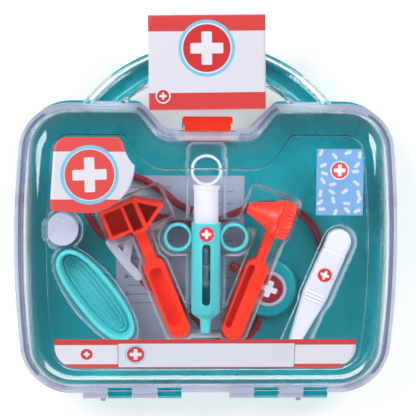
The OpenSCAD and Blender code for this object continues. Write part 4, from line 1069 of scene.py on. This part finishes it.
# %% [markdown]
# ## Prints
#
# Card, stickers, paper and pack are printed. A print here is made of distances: a
# disc is where the distance to its middle is less than its radius, and a plus is two
# rounded boxes. A Mapping node of the Texture kind puts the middle of each mark at
# zero and turns metres into millimetres, so the numbers below are real sizes.

# %% Group: a rounded box as a distance
rounded_box, given, made = new_group(
    "rounded box distance",
    [("Vector", "vector", None), ("Half Width", "value", 1.0), ("Half Height", "value", 1.0),
     ("Corner", "value", 0.2)],
    [("Distance", "value")])
parts = add_node(rounded_box, "ShaderNodeSeparateXYZ")
feed(rounded_box, parts.inputs[0], given["Vector"])
over = []
for i, label in ((0, "Half Width"), (1, "Half Height")):
    past = calc(rounded_box, "SUBTRACT", calc(rounded_box, "ABSOLUTE", parts.outputs[i]), given[label])
    over.append(calc(rounded_box, "ADD", past, given["Corner"]))
outside_x, outside_y = (calc(rounded_box, "MAXIMUM", v, 0.0) for v in over)
squares = [calc(rounded_box, "MULTIPLY", v, v) for v in (outside_x, outside_y)]
reach = calc(rounded_box, "SQRT", calc(rounded_box, "ADD", *squares))
inner = calc(rounded_box, "MINIMUM", calc(rounded_box, "MAXIMUM", over[0], over[1]), 0.0)
feed(rounded_box, made["Distance"],
     calc(rounded_box, "SUBTRACT", calc(rounded_box, "ADD", reach, inner), given["Corner"]))


# %% Group: a plus on a disc
def inside_of(tree, distance, soft=0.12):
    """1 inside a shape, 0 outside, with an edge as soft as ink on card."""
    return stretched(tree, distance, -soft, soft, 1.0, 0.0)


plus_badge, given, made = new_group(
    "plus badge",
    [("Vector", "vector", None), ("Ring", "value", 19.0), ("Gap", "value", 17.0), ("Disc", "value", 16.0),
     ("Arm", "value", 3.5), ("Reach", "value", 11.0), ("Ring Colour", "colour", srgb(130, 215, 250)),
     ("Disc Colour", "colour", srgb(225, 60, 62)), ("White", "colour", srgb(245, 245, 252))],
    [("Colour", "colour"), ("Mask", "value")])
far = add_node(plus_badge, "ShaderNodeVectorMath", operation="LENGTH")
flatten = add_node(plus_badge, "ShaderNodeVectorMath", operation="MULTIPLY")
flatten.inputs[1].default_value = (1, 1, 0)
feed(plus_badge, flatten.inputs[0], given["Vector"])
feed(plus_badge, far.inputs[0], flatten.outputs[0])
masks = {label: inside_of(plus_badge, calc(plus_badge, "SUBTRACT", far.outputs["Value"], given[label]))
         for label in ("Ring", "Gap", "Disc")}
arms = [use_group(plus_badge, rounded_box, Vector=given["Vector"], Half_Width=given[w], Half_Height=given[h],
                  Corner=0.9).outputs[0] for w, h in (("Arm", "Reach"), ("Reach", "Arm"))]
plus = inside_of(plus_badge, calc(plus_badge, "MINIMUM", *arms))
shown = blend_colour(plus_badge, masks["Gap"], given["Ring Colour"], given["White"])
shown = blend_colour(plus_badge, masks["Disc"], shown, given["Disc Colour"])
shown = blend_colour(plus_badge, plus, shown, given["White"])
feed(plus_badge, made["Colour"], shown)
feed(plus_badge, made["Mask"], masks["Ring"])


# %% Print helpers
def page(tree, x, y, turn=0.0):
    """Coordinates in mm about a point of the piece, turned by some degrees."""
    where = add_node(tree, "ShaderNodeTexCoord").outputs["Object"]
    spot = add_node(tree, "ShaderNodeMapping", vector_type="TEXTURE")
    spot.inputs["Location"].default_value = (x * MM, y * MM, 0)
    spot.inputs["Rotation"].default_value = (0, 0, math.radians(turn))
    spot.inputs["Scale"].default_value = (MM, MM, MM)
    feed(tree, spot.inputs["Vector"], where)
    return spot.outputs[0]


def boxed(tree, vector, half_w, half_h, corner=0.3, soft=0.12):
    """1 inside a rounded box about the vector's zero."""
    made = use_group(tree, rounded_box, Vector=vector, Half_Width=half_w, Half_Height=half_h, Corner=corner)
    return inside_of(tree, made.outputs[0], soft)


def badge(tree, vector, under, ring, gap, disc, arm, reach, **colours):
    """A plus badge laid over a colour."""
    mark = use_group(tree, plus_badge, Vector=vector, Ring=ring, Gap=gap, Disc=disc, Arm=arm, Reach=reach,
                     **colours)
    return blend_colour(tree, mark.outputs["Mask"], under, mark.outputs["Colour"])


def printed(name, draw, gloss=0.35):
    """A printed finish: draw(tree) returns its colour."""
    made, tree = new_material(name)
    surface = use_group(tree, moulded_surface, Colour=draw(tree), Depth=0.03, Gloss=gloss, Skin=0.03)
    finish_with(tree, shaded(tree, surface).outputs[0])
    return made


PAPER_WHITE = srgb(238, 238, 250)


def banded(tree, red, *bands):
    """White with red bands: (coordinates, half width, half height)."""
    colour = PAPER_WHITE
    for spot, half_w, half_h in bands:
        colour = blend_colour(tree, boxed(tree, spot, half_w, half_h, 0.01), colour, red)
    return colour


# %% Card print
CARD_TURN, CARD_MIDDLE = 0.9, (-0.9, 131.85)


def card_page(tree, x, y):
    """Coordinates about a point of the upright card, turned with it about its middle."""
    dx, dy = rotated(x - CARD_MIDDLE[0], y - CARD_MIDDLE[1], CARD_TURN)
    return page(tree, CARD_MIDDLE[0] + dx, CARD_MIDDLE[1] + dy, CARD_TURN)


def card_print(tree):
    """White card with a red band above and below and a badge between, on the front face only."""
    colour = banded(tree, srgb(232, 76, 76), (card_page(tree, -0.9, 159.0), 42, 6.0),
                    (card_page(tree, -0.9, 104.9), 42, 6.1))
    colour = badge(tree, page(tree, -1.2, 141.3, CARD_TURN), colour, 19.4, 17.3, 16.3, 3.57, 11.3)
    colour = badge(tree, card_page(tree, -31.4, 108.9), colour, 5.2, 5.2, 4.2, 0.8, 2.6)
    height = add_node(tree, "ShaderNodeSeparateXYZ")
    feed(tree, height.inputs[0], page(tree, *CARD_MIDDLE, CARD_TURN))
    front = stretched(tree, height.outputs[2], 41.8, 41.9, 0.0, 1.0)
    return blend_colour(tree, front, PAPER_WHITE, colour)


CARD = printed("printed card", card_print, 0.3)


# %% Label, strip, paper and pack prints
def label_print(tree):
    """White film with a red band above and below and the badge between them."""
    red = srgb(244, 88, 86)
    colour = banded(tree, red, (page(tree, -80, 76.4), 40, 6.0), (page(tree, -80, 32.2), 40, 6.0))
    return badge(tree, page(tree, -81.3, 54.8, 2), colour, 20.0, 17.6, 17.0, 3.55, 11.7, Disc_Colour=red)


def strip_print(tree):
    """White film with a red band above and below, a white box with a fine edge, a badge and a dot."""
    colour = banded(tree, srgb(224, 66, 66), (page(tree, 0, -59.6), 120, 5.0),
                    (page(tree, 0, -84.2), 120, 5.0))
    edge_and_field = ((62.1, 9.45, 0.5, srgb(60, 40, 60)), (61.7, 9.05, 0.4, srgb(232, 232, 246)))
    for half_w, half_h, corner, ink in edge_and_field:
        inked = boxed(tree, page(tree, -0.2, -72.55), half_w, half_h, corner)
        colour = blend_colour(tree, inked, colour, ink)
    colour = badge(tree, page(tree, -49.8, -71.8), colour, 7.4, 6.5, 6.1, 1.3, 4.2)
    return badge(tree, page(tree, -83.9, -71.6), colour, 4.9, 4.9, 4.2, 0.8, 2.2)


def bars_print(tree, colour, ink, bars):
    """Plain bars of ink: (x, y, half width, half height, turn, corner)."""
    for x, y, half_w, half_h, turn, corner in bars:
        colour = blend_colour(tree, boxed(tree, page(tree, x, y, turn), half_w, half_h, corner), colour, ink)
    return colour


PACK_BARS = []
for i in range(4):
    for k in range(7):
        spot_x = 81.4 + 8.3 * i + 1.5 * math.sin(5.1 * k + i)
        spot_y = 27.2 + 6.7 * k + 1.3 * math.cos(3.7 * i + 2 * k)
        if math.hypot(spot_x - 93.6, spot_y - 56) > 8.6:
            PACK_BARS.append((spot_x, spot_y, 2.6, 1.15, (67 * i + 41 * k) % 180, 1.15))


def pack_print(tree):
    """Blue card with pale plaster shapes and a badge."""
    colour = bars_print(tree, srgb(112, 160, 208), srgb(200, 202, 232), PACK_BARS)
    return badge(tree, page(tree, 93.6, 56), colour, 6.6, 6.4, 5.9, 1.3, 4.1)


PAPER_LINES = [(-40, 41 - 6.5 * i, 16, 0.35, 0, 0.1) for i in range(14)]
PAPER_LINES += [(6, 38 - 9.0 * i, 14, 0.35, 0, 0.1) for i in range(9)]
PAPER_BOXES = [(-57, 41 - 6.5 * i, 1.4, 1.4, 0, 0.2) for i in range(0, 14, 2)]


def paper_print(tree):
    """Grey-lavender form with plain rules and tick boxes."""
    return bars_print(tree, srgb(178, 182, 206), srgb(120, 124, 152), PAPER_LINES + PAPER_BOXES)


LABEL = printed("printed label", label_print, 0.3)
STRIP = printed("printed strip", strip_print, 0.3)
PACK = printed("printed pack", pack_print, 0.4)
PAPER = printed("printed paper", paper_print, 0.55)
EMBLEM_RED = srgb(225, 40, 40)


def emblem_material(name, x, y, turn, arm, reach, red=EMBLEM_RED):
    """A red disc with a white plus, for the small moulded emblems."""
    def draw(tree):
        mark = use_group(tree, plus_badge, Vector=page(tree, x, y, turn), Ring=40, Gap=40, Disc=39,
                         Arm=arm, Reach=reach, Disc_Colour=red)
        return mark.outputs["Colour"]
    return printed(name, draw, 0.25)


dressed("syringe_emblem", emblem_material("syringe emblem", -0.2, 11.3, 0, 1.0, 3.3), "base", 0.2)
dressed("thermometer_emblem", emblem_material("thermometer emblem", 84.7, -19.2, -23, 1.0, 3.3), "base", 0.15)
dressed("chest_disc", emblem_material("chest emblem", 46.1, -31.8, -20, 2.0, 6.1, srgb(165, 24, 50)),
        "base", 0.3)
dressed("plaster_pack", PACK, "base", 0.3)
dressed("record_sheet", PAPER, "base", 0)

# %% [markdown]
# ## Card and stickers
#
# The card is one folded sheet: a front panel, a tight fold over the top of the grip
# and a flap that runs back into the slot between the two halves of the grip. The
# stickers follow the arch of the window: rows of points from their left edge to their
# right edge, each at the arch's height.

# %% Folded card
def folded_card():
    """A profile (y, z) along the sheet, carried across x, with a slight bow of the front panel."""
    front_z, fold_y, grip_y = 41.85, 164.7, 146.4
    up_y = np.linspace(99.1, fold_y - 1.2, 40)
    panel = np.column_stack([up_y, np.full(40, front_z)])
    bend = arc(fold_y - 1.45, front_z - 1.2, 1.2, 88, -38, 8)
    back_line = np.column_stack([np.linspace(fold_y - 1.6, grip_y + 4.6, 14)[1:],
                                 np.linspace(front_z - 2.2, 31.0, 14)[1:]])
    flap = np.column_stack([np.linspace(grip_y + 3.4, 106.0, 24), np.full(24, 30.6)])
    path = np.vstack([panel, bend, back_line, flap])
    x = np.linspace(-40.2, 40.2, 41)
    grid = np.zeros((len(path), len(x), 3))
    grid[..., 0] = x
    grid[..., 1:] = path[:, None, :]
    dx, dy = rotated(grid[..., 0], grid[..., 1] - CARD_MIDDLE[1], CARD_TURN)
    grid[..., 0], grid[..., 1] = CARD_MIDDLE[0] + dx, CARD_MIDDLE[1] + dy
    return new_mesh("folded_card", grid.reshape(-1, 3), ring_faces(len(path), len(x), wrap=False)[:, ::-1])


card = piece("folded_card", folded_card(), CARD, "card", ["header_card"], sharp=60)
thicken(card, "card", 0.4, 0)


# %% Stickers
def sticker(name, y, left, right, finish, columns=30):
    """Rows at height y from left(y) to right(y), at arch_z(y) + 0.2, with a thickness of 0.15."""
    x = mix(left[:, None], right[:, None], np.linspace(0, 1, columns)[None, :])
    z = arch_z(y)[:, None] + 0.2 + 0 * x
    grid = np.stack([x, y[:, None] + 0 * x, z], axis=-1)
    mesh = new_mesh(name, grid.reshape(-1, 3), ring_faces(len(y), columns, wrap=False))
    obj = piece(name, mesh, finish, "lid", sharp=60)
    thicken(obj, "film", 0.15, -1)
    return obj


y = np.linspace(28.95, 80.15, 70)
curve = np.vstack([arc(-83, 61.5, 32.6, -89, 0, 14), arc(-28, 82.0, 31, 219, 190, 6),
                   [(-60.8, 79.4), (-61.6, 80.2)]])
rim_side = np.vstack([[(-84.0, 28.9), (-107.1, 30.4), (-108.3, 32.5)], arc(-96.6, 70.6, 9.6, 180, 90, 8)])
label = sticker("window_label", y, np.interp(y, rim_side[:, 1], rim_side[:, 0]),
                np.interp(y, curve[:, 1], curve[:, 0]), LABEL)
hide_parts("lid_label")

low, high, half, corner = -82.5, -60.5, 105.4, 16.0
y = low + (high - low) * np.linspace(0, 1, 50) ** 1.3
rounding = corner - np.sqrt(np.maximum(corner**2 - (low + corner - y) ** 2, 0))
edge = half - np.where(y < low + corner, rounding, 0)
strip = sticker("window_strip", y, -edge - 0.75, edge - 0.75, STRIP, 60)
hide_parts("name_strip")

# %% [markdown]
# ## Floor and light
#
# The case lies on a plain white floor. Two soft boxes stand behind it on the left and
# the right and one low before it, where their reflections fall on the round shoulders
# of the lid and not on its flat window. The sky is brighter near the horizon than
# overhead for the same reason. The floor adds a little of its own light to what the
# camera sees, so it is white there but still keeps the soft shadow.

# %% Floor
FLOOR, tree = new_material("floor")
paint = add_node(tree, "ShaderNodeBsdfDiffuse")
grain = add_node(tree, "ShaderNodeTexNoise")
grain.inputs["Scale"].default_value = 400.0
feed(tree, paint.inputs[0], blend_colour(tree, grain.outputs[0], (0.86, 0.86, 0.87, 1), (0.9, 0.9, 0.91, 1)))
glow = add_node(tree, "ShaderNodeEmission")
path = add_node(tree, "ShaderNodeLightPath")
seen = calc(tree, "MAXIMUM", path.outputs["Is Camera Ray"],
            calc(tree, "MAXIMUM", path.outputs["Is Glossy Ray"], path.outputs["Is Transmission Ray"]))
FLOOR_GLOW = 0.42
feed(tree, glow.inputs["Strength"], calc(tree, "MULTIPLY", seen, FLOOR_GLOW))
both = add_node(tree, "ShaderNodeAddShader")
tree.links.new(paint.outputs[0], both.inputs[0])
tree.links.new(glow.outputs[0], both.inputs[1])
finish_with(tree, both.outputs[0])

ring = np.vstack([arc(0, 30, r, 0, 360, 96)[:-1] for r in (1, 400, 1200, 2600)]).reshape(4, 96, 2)
floor_points = np.concatenate([ring, np.full((4, 96, 1), -0.05)], axis=-1)
fan = np.column_stack([np.arange(96), (np.arange(96) + 1) % 96, np.full(96, 384)])
disc = new_mesh("floor", np.vstack([floor_points.reshape(-1, 3), [(0, 30, -0.05)]]),
                ring_faces(4, 96)[:, ::-1], fan)
floor = bpy.data.objects.new("floor", disc)
scene.collection.objects.link(floor)
disc.materials.append(FLOOR)

# %% Sky
world = bpy.data.worlds.new("studio")
scene.world = world
world.use_nodes = True
tree = world.node_tree
tree.nodes.clear()
heading = add_node(tree, "ShaderNodeTexCoord").outputs["Generated"]
parts = add_node(tree, "ShaderNodeSeparateXYZ")
feed(tree, parts.inputs[0], heading)
steep = calc(tree, "ABSOLUTE", parts.outputs[2])
level = stretched(tree, steep, 0.3, 0.8, 0.42, 0.12)
sky = add_node(tree, "ShaderNodeBackground")
sky.inputs[0].default_value = (0.98, 0.985, 1.0, 1)
feed(tree, sky.inputs[1], level)
target = add_node(tree, "ShaderNodeOutputWorld")
tree.links.new(sky.outputs[0], target.inputs[0])


# %% Soft boxes
def soft_box(name, azimuth, height, far, width, tall, power):
    """An area lamp seen from the case's middle at an azimuth and height, in degrees, turned to it."""
    a, h = math.radians(azimuth), math.radians(height)
    spot = Vector((math.cos(a) * math.cos(h), math.sin(a) * math.cos(h), math.sin(h))) * far
    lamp = bpy.data.lights.new(name, "AREA")
    lamp.shape = "RECTANGLE"
    lamp.size, lamp.size_y = width, tall
    lamp.energy = power
    obj = bpy.data.objects.new(name, lamp)
    obj.matrix_world = Matrix.Translation(spot) @ spot.to_track_quat("Z", "Y").to_matrix().to_4x4()
    scene.collection.objects.link(obj)
    return obj


soft_box("soft_box_left", 142, 36, 1.3, 0.75, 0.5, 9.5)
soft_box("soft_box_right", 40, 36, 1.3, 0.45, 0.5, 6.5)
soft_box("soft_box_front", -90, 20, 1.4, 1.5, 0.4, 12.0)
